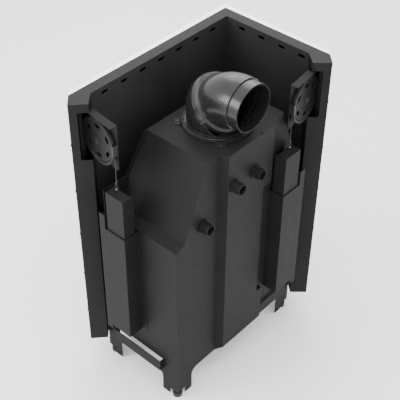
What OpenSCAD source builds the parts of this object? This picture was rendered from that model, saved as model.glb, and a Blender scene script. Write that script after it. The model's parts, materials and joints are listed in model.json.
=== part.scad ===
// Corner fireplace insert with a lift-up two-sided glass door, seen here from its back.
// Millimetres, +Z up, standing on the floor. -Y is the long glass side, -X the short one.
// Plan places are measured from the inner corner of the L-shaped casing.

/* [Casing] */
// Height of the casing's top above the floor
casing_top = 1421; // [1400:1:1440]
// Height of the casing's bottom edge above the floor
casing_bottom = 129.5; // [100:0.5:150]
// Depth of the casing from its inner sheet to its outer sheet
casing_depth = 50.6; // [46:0.1:56]
// Thickness of the casing sheets
casing_sheet = 2; // [1.5:0.1:2.5]
// Height at which the outer hood ends above the glass
hood_open = 862; // [860:1:875]
// Height of the top edge of the panel under the door
plinth_top = 285; // [270:1:292]
// Width of a slot near the top of the inner sheets
slot_w = 34; // [24:1:44]
// Height of a slot
slot_h = 13; // [9:1:17]
// Distance between slot centres
slot_pitch = 103.6; // [98:0.1:106]
// Distance from the inner corner to the first slot
slot_first = 86; // [70:1:96]
// Distance of the slot centres below the casing's top
slot_drop = 28; // [24:1:34]
// Number of slots in the long wing
slots_front = 7; // [4:1:7]
// Number of slots in the short wing
slots_side = 4; // [2:1:4]

/* [Trim] */
// Depth of the bright trim in front of the casing
trim_depth = 22.4; // [14:0.1:30]
// Face width of the trim's bars
trim_face = 22; // [14:1:28]

/* [End posts] */
// How far the inner sheets stop short of the body's plain side
post_lap_front = 21; // [18:1:24]
// How far the inner sheets stop short of the body's rear plane
post_lap_side = 33; // [30:1:36]
// Run of the post's oblique inner face along the wing
oblique_run = 53; // [50:1:56]
// Rise of the oblique inner face towards the back
oblique_rise = 46; // [43:1:48]
// Run of the end face along the wing
end_run = 58; // [54:1:62]
// Fall of the end face towards the front
end_fall = 52; // [48:1:56]
// Width of the post's front return
post_return = 24; // [18:1:28]
// Height of the lower edge of the pulley cut-out
cutout_z0 = 1160; // [1150:1:1162]
// Height of the upper edge of the pulley cut-out
cutout_z1 = 1382; // [1380:1:1390]
// Radius of the pulley cut-out's corners
cutout_r = 8; // [4:1:14]
// Distance of the pulley cut-out's front edge behind the wing's inner sheet
cutout_y0 = 14.5; // [8:0.5:17]
// Height of the highest casing screw
screw_z = 1229; // [1200:1:1240]
// Distance between casing screws
screw_pitch = 229; // [200:1:235]
// Number of casing screws on each post
screw_count = 5; // [2:1:5]
// Radius of a casing screw's head
screw_head_r = 5; // [3:0.5:6]
// Radius of a casing screw's shank
screw_r = 2; // [1.5:0.1:2.5]
// Height of a casing screw's head
screw_head_h = 3; // [2:0.5:4]

/* [Body] */
// Inner corner to the outside of the plain side
body_w = 799; // [790:1:830]
// Inner corner to the rear plane behind the short-side counterweight
body_d = 465; // [460:1:480]
// How far the rear's near part lies inside the rear plane
near_inset = 14; // [10:1:18]
// How far the rear's middle part stands out of the rear plane
rear_step = 21; // [15:1:27]
// Distance of the bevelled step's near edge from the plain side
step_near = 244; // [230:1:270]
// Run of the bevelled step along the rear
step_run = 15; // [8:1:24]
// Thickness of the body's jacket sheets
jacket_t = 3; // [2:0.5:4]
// Height of the roof
roof_z = 1239; // [1225:1:1255]
// Distance of the roof's sloped edge from the plain side
shoulder_in = 173; // [160:1:190]
// Distance of the slope's foot from the plain side
slope_foot_in = 48; // [40:1:60]
// Height of the slope's foot
slope_foot_z = 910; // [900:1:930]
// Height of the ledge's outer edge
ledge_z = 890; // [882:1:898]
// Inner corner to the upper body's front sheets
upper_inset = 100; // [98:1:102]
// Inner corner to the wing sheets beside the body
wing_inset = 136; // [130:1:136]
// Roof's long-side edge from the inner corner
roof_front = 138; // [134:1:142]
// Roof's short-side edge from the inner corner
roof_side = 174; // [166:1:184]
// Height where the upper front sheets start to lean in
side_slope_z = 1040; // [1034:1:1046]
// How far the long side's upper sheet reaches past the plain side
front_reach = 38; // [34:1:42]
// Bottom edge of the rear's near part
near_bottom = 125; // [110:1:140]
// Bottom edge of the rear's middle part
middle_bottom = 155; // [145:1:165]
// Distance from the inner corner to the middle part's upper free edge
middle_edge_top = 263; // [255:1:275]
// Distance from the inner corner to the middle part's free edge beside the counterweight
middle_edge = 316; // [312:1:330]
// Distance from the inner corner to the middle part's lower free edge
middle_edge_low = 282; // [274:1:292]
// Height where the middle part's free edge steps in
edge_step_low = 346; // [340:1:360]
// Height where the middle part's free edge steps out again
edge_step_high = 954; // [940:1:970]
// Height of the wing sheets' bottom edge
wing_bottom = 293; // [292:1:320]
// Height of the wing sheets' outer flange
wing_flange_top = 954; // [900:1:1000]
// How far the front sheet stands proud of the slope
lip = 12; // [6:1:18]

/* [Base] */
// Distance of the base's front edges from the inner corner
base_inset = 19; // [16:1:24]
// Width of a leg's sheet, from its outer edge to the arch
leg_w = 90; // [80:1:100]
// Width of the foot part of a leg at its tip
leg_tip = 40; // [34:1:46]
// Height of the leg tips above the floor
leg_z = 7; // [4:1:10]
// Height of the corner notches around the feet
notch_z = 42; // [38:1:46]
// Radius of the arches beside the legs
arch_r = 38; // [28:1:44]
// Distance of the air-gap bars from the body
bar_gap = 22; // [16:1:28]
// Height of the bars' lower edge
bar_z0 = 152; // [142:1:160]
// Height of the bars' upper edge
bar_z1 = 212; // [200:1:222]
// Distance of the bars' outer ends from the inner corner
bar_y0 = 90; // [80:1:100]
// Distance from the inner corner to the plain side bar's near end
bar_y1 = 370; // [350:1:380]
// Width of the square tube ring that carries the firebox
ring_w = 30; // [24:1:36]
// Leg of the corner angles
angle_w = 40; // [36:1:46]
// Thickness of the corner angles
angle_t = 4; // [3:0.5:6]
// Radius of a foot's pad
foot_r = 21.5; // [18:0.5:24]
// Height of a foot's pad
foot_h = 22; // [12:1:26]
// Radius of a foot's threaded stud
foot_stud_r = 6; // [4:0.5:8]

/* [Firebox] */
// Thickness of the firebox plates
plate_t = 4; // [3:0.5:6]
// Height of the firebox floor's underside
floor_z = 290; // [286:1:300]
// Height of the firebox top plate's upper side
box_top = 868; // [864:1:872]
// How far the firebox's sills stand in front of the inner corner's planes
sill_out = 8; // [6:1:10]
// Height of the sill and lintel strips
sill_h = 36; // [30:1:40]
// Thickness of the fireclay slabs
clay_t = 30; // [25:1:36]
// Height of the fireclay walls' top
clay_top = 806; // [780:1:815]
// Thickness of the baffle plate
baffle_t = 25; // [20:1:30]
// Grate opening's length
grate_l = 256; // [220:1:300]
// Grate opening's width
grate_d = 176; // [140:1:200]
// Grate thickness
grate_t = 12; // [10:1:16]
// Number of slots in the grate
grate_slots = 11; // [6:1:13]
// Width of a grate slot
grate_slot = 10; // [6:1:12]
// Width of the ledge that the grate rests on
grate_ledge = 10; // [8:1:14]
// Depth of the ash pit under the floor
pit_depth = 75; // [60:1:85]
// Height of the ash pan
pan_h = 58; // [40:1:60]
// Wall thickness of the ash pan
pan_t = 1.5; // [1:0.1:2]
// Radius of the log guard's rods
guard_r = 5; // [4:0.5:7]
// Height of the log guard's rail above the floor slab
guard_h = 45; // [30:1:60]
// Distance of the log guard's corner from the inner corner
guard_in = 32; // [28:1:45]

/* [Door] */
// Height of the door's bottom edge when it is closed
door_z0 = 300; // [298:1:304]
// Height of the door's top edge when it is closed
door_z1 = 858; // [850:1:860]
// Depth of the door frame
door_depth = 20; // [16:1:22]
// Distance of the door's inner face from the casing's inner sheet
door_gap = 12; // [11:0.5:14]
// Height of the door's rails
rail_h = 38; // [30:1:44]
// Wall of the door frame's profile
rail_t = 2.5; // [2:0.1:3]
// Width of the door's end stiles
stile_w = 32; // [30:1:36]
// Thickness of the glass
glass_t = 4; // [4:0.5:5]
// How far the glass reaches into the frame
glass_hold = 12; // [8:1:16]
// Height of the door's travel
door_travel = 530; // [500:1:530]
// Height of the carriage at each end of the door
carriage_h = 300; // [200:1:320]
// Radius of the seal rope
rope_r = 3; // [2.5:0.1:3.3]
// Radius of the handle bar
handle_r = 7; // [5:0.5:9]
// Length of the handle bar
handle_l = 220; // [160:1:300]
// Distance of the handle bar from the door's face
handle_out = 28; // [22:1:34]
// Gap between the carriage and its guide rail
guide_gap = 0.5; // [0.3:0.1:1]
// Thickness of the guide rails
guide_t = 2; // [1.5:0.1:2.5]

/* [Counterweights] */
// Distance from the wing's inner corner to the weight channel's near side
channel_y1 = 245; // [240:1:250]
// How far the channel stands out of the body
channel_w = 75; // [70:1:80]
// Height of the channel's bottom edge
channel_z0 = 318; // [305:1:319]
// Height of the channel's top edge
channel_z1 = 885; // [875:1:900]
// Thickness of the channel's sheet
channel_t = 2; // [1.5:0.1:2.5]
// Width of the channel's fixing flange
channel_flange = 30; // [24:1:36]
// Extra width of the short side's fixing flange
riveted_extra = 37; // [30:1:37]
// Height of the counterweight
weight_h = 227; // [200:1:228]
// Height of the counterweight's top with the door closed
weight_top = 1077; // [1076:1:1078]
// Width of the counterweight
weight_y = 94; // [80:1:98]
// Depth of the counterweight's side sheets
weight_w = 59; // [50:1:64]
// Depth of the counterweight's top plate
weight_lid = 46; // [42:1:50]
// Thickness of the counterweight's sheet
weight_t = 2; // [1.5:0.1:2.5]
// Gap between the weight and the channel
weight_gap = 2.5; // [0.5:0.1:3]
// Number of steel plates in a counterweight
stack_count = 4; // [2:1:5]
// Height of the steel plates in a counterweight
stack_h = 200; // [80:1:205]
// Gap between the steel plates
stack_gap = 0.2; // [0.1:0.1:0.4]
// Radius of the ball that ends the cable
ball_r = 6; // [4:0.5:8]

/* [Pulleys] */
// Outer radius of a pulley
pulley_r = 101; // [96:0.5:101]
// Radius of the cable's centre line on a pulley
cable_path_r = 98; // [93:0.5:98]
// Radius of the cable
cable_r = 2; // [1.5:0.1:2.2]
// Thickness of a pulley
pulley_t = 13; // [11:0.5:13.5]
// Height of the pulleys' axles
pulley_z = 1262; // [1260:0.5:1264]
// Distance of the pulleys' axles from the wing's inner sheet
pulley_y = 74.3; // [72:0.1:76]
// Distance of the pulleys' axles out from the body's plane
pulley_w = 20; // [18:0.1:21]
// Turn of the pulleys away from the wing
pulley_turn = 7; // [5:0.5:8]
// Number of oval holes in a pulley
hole_count = 6; // [4:1:8]
// Radius at which the oval holes lie
hole_ring = 66; // [60:1:72]
// Radius of an oval hole's ends
hole_r = 8.5; // [6:0.5:10]
// Distance between the centres of an oval hole's ends
hole_long = 13; // [6:0.5:18]
// Radius of an axle
axle_r = 8; // [6:0.5:10]
// Radial running gap on an axle
axle_gap = 0.06; // [0.02:0.01:0.1]
// Thickness of the bracket plates
bracket_t = 2.5; // [2:0.1:3]
// Gap between a pulley and its bracket plate
bracket_gap = 4; // [2:0.5:5]
// Width of the bracket's top flange
bracket_flange = 30; // [24:1:34]
// Distance from the wing's inner sheet to the bracket's rear edge
bracket_y1 = 180; // [178:1:186]
// Height of the bracket's lower edge
bracket_z0 = 1168; // [1160:1:1172]

/* [Flue outlet] */
// Outer radius of the outlet spigot
spigot_r = 100; // [90:1:105]
// Wall of the flue outlet
flue_t = 4; // [3:0.5:5]
// Distance of the flue's upright axis from the roof's middle
flue_off = 3; // [0:1:8]
// Distance of the flue's upright axis from the casing's inner corner
flue_y = 305; // [300:1:312]
// Radius of the flange on the roof
flange_r = 145; // [140:1:150]
// Thickness of the flange
flange_t = 8; // [6:1:10]
// Radius of the lower half
lower_r = 127; // [125:1:129]
// Radius of the lower half's neck below the turning joint
neck_r = 122; // [120:1:124]
// Radius of the upper half's bend
tube_r = 105; // [104:0.5:106]
// Radius of the turning joint between the two halves
joint_r = 111; // [110:0.5:114]
// Height of the lower half's ball above the roof
ball_lower_z = 84; // [78:1:92]
// Height of the spigot's axis above the roof
spigot_z = 142; // [136:1:150]
// Distance of the spigot's collar line from the upright axis
collar_y = 125; // [118:1:132]
// Distance of the spigot's rim from the upright axis
rim_y = 172; // [160:1:185]
// Radius of the pipe sleeves' outside
sleeve_r = 24.15; // [20:0.05:26]
// Wall of the pipe sleeves
sleeve_t = 3.2; // [2.5:0.1:4]
// Length of the pipe sleeves
sleeve_l = 42; // [30:1:50]
// Radius of the collars at the sleeves' roots
sleeve_collar_r = 29; // [27:1:34]
// Length of the collars
sleeve_collar_l = 9; // [6:1:14]

/* [Hidden] */
$fn = 64;

// Overrun of every cut past the solid that it cuts
cut = 5;
// Clearance between parts that only lie next to each other
seat = 0.3;
// Share of the post's end face that the pulley cut-out takes
cutout_share = 0.58;

// Colours
steel = [0.235, 0.235, 0.232];
dark = [0.13, 0.13, 0.13];
pale = [0.80, 0.82, 0.84];
bare = [0.55, 0.55, 0.56];
clay = [0.72, 0.66, 0.56];
iron = [0.20, 0.20, 0.21];
pane = [0.6, 0.75, 0.8, 0.35];

// Outer corner of the trim and far ends of the posts set the whole plan
trim_out = casing_depth + trim_depth;
post_tip_x = body_w - post_lap_front + oblique_run + end_run;
post_tip_y = body_d - post_lap_side + oblique_run + end_run;
mid_x = (post_tip_x - trim_out) / 2;
mid_y = (post_tip_y - trim_out) / 2;

// Planes of the body
rear_near = body_d - near_inset;
rear_mid = body_d + rear_step;
step_x1 = body_w - step_near;
step_x0 = step_x1 - step_run;
slope_x0 = body_w - shoulder_in;
slope_x1 = body_w - slope_foot_in;
box_w = body_w - post_lap_front - casing_sheet;
box_d = body_d - post_lap_side - casing_sheet;
flue_x = (roof_side + slope_x0) / 2 - flue_off;

// Door faces and ends
door_in = -door_gap;
door_out = -door_gap - door_depth;
door_end_w = -guide_t;
channel_y0 = wing_inset + seat;
weight_y1 = channel_y1 - channel_t - weight_gap;
weight_y0 = weight_y1 - weight_y;
weight_w1 = channel_w - channel_t - weight_gap;
weight_w0 = weight_w1 - weight_w;
weight_z0 = weight_top - weight_h;
carriage_z1 = door_z0 + carriage_h;
tan_w = cable_path_r * sin(pulley_turn);
tan_y = cable_path_r * cos(pulley_turn);
eye_w = pulley_w + tan_w;
eye_y = pulley_y + tan_y;
haul_w = pulley_w - tan_w;
haul_y = pulley_y - tan_y;
eye_z = weight_top + ball_r;
eye_flat = eye_z + ball_r / 2;

// Geometry helpers
function unit(v) = v / norm(v);
function left_of(v) = [-v[1], v[0]];
function side_of(p, i) = left_of(unit(p[i + 1] - p[i]));
function miter(p, i, t) = let (a = side_of(p, i - 1), b = side_of(p, i))
    p[i] + t * (a + b) / (1 + a * b);
function shifted(p, t) = [for (i = [0 : len(p) - 1])
    i == 0 ? p[0] + t * side_of(p, 0)
    : i == len(p) - 1 ? p[i] + t * side_of(p, i - 1)
    : miter(p, i, t)];
function reversed(p) = [for (i = [len(p) - 1 : -1 : 0]) p[i]];
function sheet(p, t) = concat(p, reversed(shifted(p, t)));
function arc(c, r, a0, a1, steps = 8) = [for (i = [0 : steps])
    let (a = a0 + (a1 - a0) * i / steps) c + r * [cos(a), sin(a)]];

// A box from its lowest to its highest corner
module block(lo, hi) {
    translate(lo) cube(hi - lo);
}

// An outline in plan, from one height to another
module rise(points, z0, z1) {
    translate([0, 0, z0]) linear_extrude(z1 - z0) polygon(points);
}

// An outline in X and Z, from one Y to another
module across(points, y0, y1) {
    translate([0, y1, 0]) rotate([90, 0, 0]) linear_extrude(y1 - y0) polygon(points);
}

// An outline in Y and Z, from one X to another
module along(points, x0, x1) {
    translate([x0, 0, 0]) rotate([90, 0, 90]) linear_extrude(x1 - x0) polygon(points);
}

// A flat slot with round ends in the XZ plane, cut along Y
module slot_y(w, h, y0, y1) {
    block([-(w - h) / 2, y0, -h / 2], [(w - h) / 2, y1, h / 2]);
    for (s = [-1, 1]) translate([s * (w - h) / 2, y0, 0])
        rotate([-90, 0, 0]) cylinder(h = y1 - y0, r = h / 2);
}

// Places the model with its origin under the middle of its plan
module place() {
    translate([-mid_x, -mid_y, 0]) children();
}

// The counterweight side of each wing: X leads out of the body, Y away from the wing
module at_front() {
    translate([body_w, 0, 0]) children();
}
module at_side() {
    translate([0, body_d, 0]) mirror([1, -1, 0]) children();
}

// Casing
function post_path(lap) = let (
    a = [-lap, 0], b = a + [oblique_run, oblique_rise], c = b + [end_run, -end_fall],
    fall = casing_depth + c[1], d = c - [fall, fall]) [a, b, c, d, d - [post_return, 0]];
function to_front(p) = [for (q = p) [body_w + q[0], q[1]]];
function to_side(p) = [for (q = p) [q[1], body_d + q[0]]];
front_post = to_front(post_path(post_lap_front));
side_post = to_side(post_path(post_lap_side));

module slots(count) {
    for (i = [0 : count - 1]) translate([slot_first + i * slot_pitch, 0, casing_top - slot_drop])
        slot_y(slot_w, slot_h, -casing_sheet - cut, cut);
}

module casing_inner_panel() {
    path = [front_post[0], [0, 0], side_post[0]];
    color(dark) place() difference() {
        rise(sheet(path, casing_sheet), box_top + seat, casing_top - casing_sheet);
        slots(slots_front);
        mirror([1, -1, 0]) slots(slots_side);
    }
}

module casing_outer_panel() {
    path = [front_post[4], [-casing_depth, -casing_depth], side_post[4]];
    color(steel) place()
        rise(sheet(path, -casing_sheet), hood_open, casing_top - casing_sheet);
}

module casing_top_cap() {
    points = concat([[0, 0]], [for (i = [0 : 3]) front_post[i]], [[-casing_depth, -casing_depth]],
        [for (i = [3 : -1 : 0]) side_post[i]]);
    color(steel) place() rise(points, casing_top - casing_sheet, casing_top);
}

module trim_frame() {
    o = trim_out;
    ends = [front_post[3], front_post[3] - [trim_depth, trim_depth],
        side_post[3] - [trim_depth, trim_depth], side_post[3]];
    ring = [[-casing_depth, -casing_depth], ends[0], ends[1], [-o, -o], ends[2], ends[3]];
    levels = [casing_top - trim_face, hood_open, plinth_top - trim_face, casing_bottom];
    color(pale) place() union() {
        for (z = levels) rise(ring, z, z + trim_face);
        rise([ends[0], ends[1], ends[1] - [trim_face, 0], ends[0] - [trim_face, 0]],
            casing_bottom, casing_top);
        rise([ends[3], ends[2], ends[2] - [0, trim_face], ends[3] - [0, trim_face]],
            casing_bottom, casing_top);
    }
}

// The cut-out in a post that lets its pulley through, with rounded corners on the end face
module pulley_cutout(lap) {
    a = post_path(lap)[0];
    b = post_path(lap)[1];
    c = post_path(lap)[2];
    along_face = unit(c - b);
    width = cutout_share * norm(c - b);
    turn = atan2(along_face[1], along_face[0]);
    block([a[0] - cut, cutout_y0, cutout_z0], [b[0], b[1] + cut, cutout_z1]);
    translate([b[0], b[1], 0]) rotate([0, 0, turn]) {
        block([-cutout_r, -cutout_r, cutout_z0 + cutout_r], [width, cut, cutout_z1 - cutout_r]);
        block([-cutout_r, -cutout_r, cutout_z0], [width - cutout_r, cut, cutout_z1]);
        for (z = [cutout_z0 + cutout_r, cutout_z1 - cutout_r])
            translate([width - cutout_r, cut, z]) rotate([90, 0, 0])
                cylinder(h = cutout_r + cut, r = cutout_r);
    }
}

// The places of a post's screws, on its outer oblique face
module post_screw_places(lap) {
    p = post_path(lap);
    spot = p[2] + unit(p[3] - p[2]) * screw_head_r * 2;
    for (i = [0 : screw_count - 1])
        translate([spot[0], spot[1], screw_z - i * screw_pitch]) rotate([0, 0, -45])
            rotate([0, 90, 0]) children();
}

module end_post(lap) {
    difference() {
        rise(sheet(post_path(lap), -casing_sheet), casing_bottom, casing_top - casing_sheet);
        pulley_cutout(lap);
        post_screw_places(lap)
            translate([0, 0, -casing_sheet * 2]) cylinder(h = casing_sheet * 4, r = screw_r + seat / 3);
    }
}

module end_post_front() {
    color(steel) place() at_front() end_post(post_lap_front);
}

module end_post_side() {
    color(steel) place() at_side() end_post(post_lap_side);
}

module plinth_panel() {
    path = [front_post[4], [-casing_depth, -casing_depth], side_post[4]];
    color(steel) place() difference() {
        rise(sheet(path, -casing_sheet), casing_bottom, plinth_top);
        translate([air_x + air_travel / 2, -casing_depth, air_z])
            slot_y(air_travel + 4 * air_rod_r, 2 * air_rod_r + cut, -cut, cut);
    }
}

module screw() {
    cylinder(h = screw_head_h, r = screw_head_r);
    translate([0, 0, -casing_sheet * 2]) cylinder(h = casing_sheet * 2, r = screw_r);
}

module casing_screws() {
    color(bare) place() {
        at_front() post_screw_places(post_lap_front) screw();
        at_side() post_screw_places(post_lap_side) screw();
    }
}

// Base
module leg_outline_cut(u0, u1, z_low) {
    // Opening under a sheet between two legs, with round shoulders
    along(concat([[u0, -cut], [u1, -cut]], arc([u1 - arch_r, z_low - arch_r], arch_r, 0, 90),
        arc([u0 + arch_r, z_low - arch_r], arch_r, 90, 180)), -cut, jacket_t + cut);
}

module notch_cut(u0, u1) {
    block([-cut, u0, -cut], [jacket_t + cut, u1, notch_z]);
}

foot_places = [for (x = [base_inset + foot_r, body_w - foot_r])
    for (y = [base_inset + foot_r, rear_near - foot_r]) [x, y]];

module corner_angle(x0, y0, sx, sy) {
    // A corner post with a foot plate, its corner at x0, y0
    translate([x0, y0, 0]) mirror([sx < 0 ? 1 : 0, 0, 0]) mirror([0, sy < 0 ? 1 : 0, 0]) {
        block([0, 0, notch_z], [angle_w, angle_t, floor_z - ring_w]);
        block([0, 0, notch_z], [angle_t, angle_w, floor_z - ring_w]);
        block([0, 0, notch_z], [angle_w, angle_w, notch_z + angle_t]);
    }
}

module bar_strip(u0, u1) {
    // A bent strip in front of the body's lower edge
    block([bar_gap, u0, bar_z0], [bar_gap + jacket_t, u1, bar_z1]);
    for (u = [u0, u1 - jacket_t]) block([0, u, bar_z0], [bar_gap, u + jacket_t, bar_z1]);
}

module base_frame() {
    x0 = base_inset;
    x1 = body_w - jacket_t;
    y1 = rear_near - jacket_t;
    color(steel) place() difference() {
        union() {
            corner_angle(x0, x0, 1, 1);
            corner_angle(x1, x0, -1, 1);
            corner_angle(x0, y1, 1, -1);
            corner_angle(x1, y1, -1, -1);
            for (y = [x0, y1 - ring_w])
                block([x0, y, floor_z - ring_w], [x1, y + ring_w, floor_z]);
            for (x = [x0, x1 - ring_w])
                block([x, x0, floor_z - ring_w], [x + ring_w, y1, floor_z]);
            translate([body_w, 0, 0]) bar_strip(bar_y0, bar_y1);
            translate([0, rear_near, 0]) mirror([1, -1, 0])
                bar_strip(bar_y0, middle_edge_low);
            difference() {
                block([x0, y1, leg_z], [x0 + leg_w, y1 + jacket_t, bar_z0]);
                block([x0 - cut, y1 - cut, -cut], [x0 + leg_w - leg_tip, y1 + 2 * cut, notch_z]);
            }
            block([x0, y1, bar_z0], [middle_edge_low, y1 + jacket_t, bar_z1]);
        }
        for (p = foot_places) translate([p[0], p[1], notch_z - cut])
            cylinder(h = angle_t + 2 * cut, r = foot_stud_r + seat / 2);
    }
}

module levelling_feet() {
    color(iron) place() for (p = foot_places) translate([p[0], p[1], 0]) union() {
        cylinder(h = foot_h, r = foot_r);
        translate([0, 0, foot_h]) cylinder(h = notch_z + ring_w - foot_h, r = foot_stud_r);
        translate([0, 0, notch_z - foot_stud_r]) cylinder(h = foot_stud_r, r = foot_stud_r * 1.9, $fn = 6);
    }
}

// Body
function side_profile() = [[body_w, leg_z], [body_w, ledge_z], [slope_x1, slope_foot_z],
    [slope_x0, roof_z - jacket_t]];

module side_jacket() {
    y1 = rear_near - jacket_t;
    window_in = bar_z1 - bar_z0;
    color(steel) place() difference() {
        across(sheet(side_profile(), jacket_t), base_inset, y1);
        along(concat([[0, box_top]], shifted(front_lean(), -jacket_t - seat), [[0, roof_z]]), 0,
            body_w + cut);
        translate([body_w - jacket_t, 0, 0]) {
            leg_outline_cut(base_inset + leg_w - arch_r / 4, rear_near - leg_w, near_bottom);
            notch_cut(0, base_inset + leg_w - leg_tip - arch_r / 4);
            notch_cut(rear_near - leg_w + leg_tip, rear_near + cut);
            block([-cut, bar_y0 + jacket_t, bar_z0], [jacket_t + cut, bar_y1 - jacket_t * 2,
                bar_z1 - jacket_t * 2]);
        }
        translate([body_w, rear_near - jacket_t * 2, ledge_z]) sphere(r = jacket_t);
    }
}

// Outline of the rear in X and Z: legs, arch, free edges, roof and slopes
function rear_outline() = let (
    near_leg = body_w - leg_w, r = arch_r, steps = 8) concat(
    [[body_w, notch_z], [body_w - leg_w + leg_tip, notch_z], [body_w - leg_w + leg_tip, leg_z],
        [near_leg, leg_z]],
    arc([near_leg - r, near_bottom - r], r, 0, 90),
    [[step_x1, near_bottom], [step_x0, middle_bottom], [middle_edge_low, middle_bottom],
        [middle_edge_low, bar_z1 + seat], [wing_inset, bar_z1 + seat],
        [wing_inset, box_top + seat], [bend_x, box_top + seat], [bend_x, bend_z], bend_top,
        [slope_x0, roof_z - jacket_t], [slope_x1, slope_foot_z], [body_w, ledge_z]]);

module rear_band(edge, z0, z1) {
    bevel = edge == middle_edge_top ? rear_step : 0;
    path = [[body_w, rear_near], [step_x1, rear_near], [step_x0, rear_mid], [edge, rear_mid],
        [edge - bevel, body_d], [bend_x - cut, body_d]];
    rise(sheet(path, jacket_t), z0, z1);
}

module rear_jacket() {
    t = jacket_t;
    color(steel) place() difference() {
        union() {
            intersection() {
                union() {
                    rear_band(middle_edge_low, -cut, edge_step_low);
                    rear_band(middle_edge, edge_step_low, edge_step_high);
                    rear_band(middle_edge_top, edge_step_high, roof_z + cut);
                }
                across(rear_outline(), 0, rear_mid + cut);
            }
            block([middle_edge_low, body_d - t, edge_step_low - t],
                [middle_edge + t, rear_mid, edge_step_low]);
            block([middle_edge_top, body_d - t, edge_step_high],
                [middle_edge + t, rear_mid, edge_step_high + t]);
        }
        for (p = sleeve_places) translate([p[0], p[1] + cut, p[2]])
            rotate([90, 0, 0]) cylinder(h = t + 2 * cut, r = sleeve_r + sleeve_gap);
        for (p = near_hole_shares) translate([body_w * p[0], rear_near + cut, roof_z * p[1]])
            rotate([90, 0, 0]) cylinder(h = t + 2 * cut, r = pinhole_r);
        for (p = middle_hole_shares) translate([body_w * p[0], rear_mid + cut, roof_z * p[1]])
            rotate([90, 0, 0]) cylinder(h = t + 2 * cut, r = pinhole_r);
    }
}

// Small fixing holes left open in the rear, as shares of the body's width and height
pinhole_r = 2;
near_hole_shares = [[0.877, 0.795], [0.918, 0.701], [0.735, 0.612], [0.861, 0.613],
    [0.918, 0.625], [0.833, 0.879]];
middle_hole_shares = [[0.516, 0.612], [0.515, 0.574], [0.513, 0.477], [0.516, 0.441]];

// The pipe sleeves, from the plain side and above the floor
sleeve_gap = 0.1;
near_sleeve_in = 153;
near_sleeve_z = 940;
middle_sleeve_in = 296;
middle_sleeve_pitch = 123;
middle_sleeve_z = 1076;
sleeve_places = [[body_w - near_sleeve_in, rear_near, near_sleeve_z],
    for (i = [0 : 1]) [body_w - middle_sleeve_in - i * middle_sleeve_pitch, rear_mid, middle_sleeve_z]];

module pipe_sleeves() {
    color(steel) place() for (p = sleeve_places) translate([p[0], p[1], p[2]])
        rotate([-90, 0, 0]) difference() {
            union() {
                translate([0, 0, -jacket_t]) cylinder(h = sleeve_l + jacket_t, r = sleeve_r);
                cylinder(h = sleeve_collar_l, r = sleeve_collar_r);
            }
            translate([0, 0, -cut - jacket_t])
                cylinder(h = sleeve_l + 3 * cut + jacket_t, r = sleeve_r - sleeve_t);
        }
}

module roof_plate() {
    r = bend_r;
    corner = concat([[roof_side, roof_front + seat]],
        reversed(arc([roof_side + r, body_d - r], r, 90, 180)));
    points = concat(corner, [[middle_edge_top - rear_step, body_d], [middle_edge_top, rear_mid],
        [step_x0, rear_mid], [step_x1, rear_near], [slope_x0, rear_near],
        [slope_x0, roof_front + seat]]);
    color(steel) place() difference() {
        rise(points, roof_z - jacket_t, roof_z);
        translate([flue_x, flue_y, roof_z - cut]) cylinder(h = 2 * cut, r = spigot_r);
        translate([flue_x - flange_r * 0.41, rear_mid - jacket_t * 2, roof_z - cut])
            cylinder(h = 2 * cut, r = pinhole_r * 2);
    }
}

// The upright sheet in front of each counterweight, with its outer flange
module wing_sheet() {
    block([0, wing_inset - jacket_t, wing_bottom], [channel_w, wing_inset, wing_flange_top]);
    block([channel_w - jacket_t, wing_inset - leg_tip + jacket_t * 3, wing_bottom],
        [channel_w, wing_inset - jacket_t, wing_flange_top]);
}

// Outer face of the long side's upper sheet in Y and Z, upright and then leaning in
function front_lean() = let (run = roof_front - upper_inset, rise = roof_z - side_slope_z)
    [[upper_inset - jacket_t, box_top + seat], [upper_inset - jacket_t, side_slope_z],
        [roof_front - jacket_t + run * cut / rise, roof_z + cut]];

module bulkhead_front() {
    slope = (slope_x1 - slope_x0) / (roof_z - slope_foot_z);
    at_lean = slope_x0 + (roof_z - side_slope_z) * slope + lip;
    edge = upper_inset - jacket_t;
    right = body_w + front_reach;
    color(steel) place() {
        intersection() {
            along(sheet(front_lean(), -jacket_t + seat), edge, right);
            across([[edge, box_top + seat], [right, box_top + seat], [right, side_slope_z],
                [at_lean, side_slope_z], [slope_x0 + lip, roof_z], [roof_side, roof_z],
                [edge, side_slope_z]], 0, body_d);
        }
        at_front() wing_sheet();
    }
}

// The rounded corner where the short side's sheet turns into the rear, upright and then sloped
bend_r = 15;
side_slope = atan2(roof_side - upper_inset + jacket_t, roof_z - side_slope_z);
bend_x = upper_inset - jacket_t + bend_r;
bend_z = side_slope_z - bend_r * tan(side_slope / 2);
bend_top = [bend_x + (roof_z - jacket_t - bend_z) * tan(side_slope), roof_z - jacket_t];

module quarter_bend(h, inset) {
    r = bend_r - inset;
    intersection() {
        difference() {
            cylinder(h = h, r = r);
            translate([0, 0, -cut]) cylinder(h = h + 2 * cut, r = r - jacket_t);
        }
        block([-bend_r - cut, 0, 0], [0, bend_r + cut, h]);
    }
}

// The upright bend and the sloped one, each cut at the plane halfway between them
module mitred_bend() {
    r = bend_r;
    difference() {
        translate([0, 0, box_top + seat - bend_z]) quarter_bend(bend_z - box_top + r, seat / 2);
        rotate([0, side_slope / 2, 0]) block([-3 * r, -r, 0], [3 * r, 3 * r, 3 * r]);
    }
    difference() {
        rotate([0, side_slope, 0]) translate([0, 0, -r]) quarter_bend(roof_z, seat);
        rotate([0, side_slope / 2, 0]) block([-3 * r, -r, -3 * r], [3 * r, 3 * r, 0]);
    }
}

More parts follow.
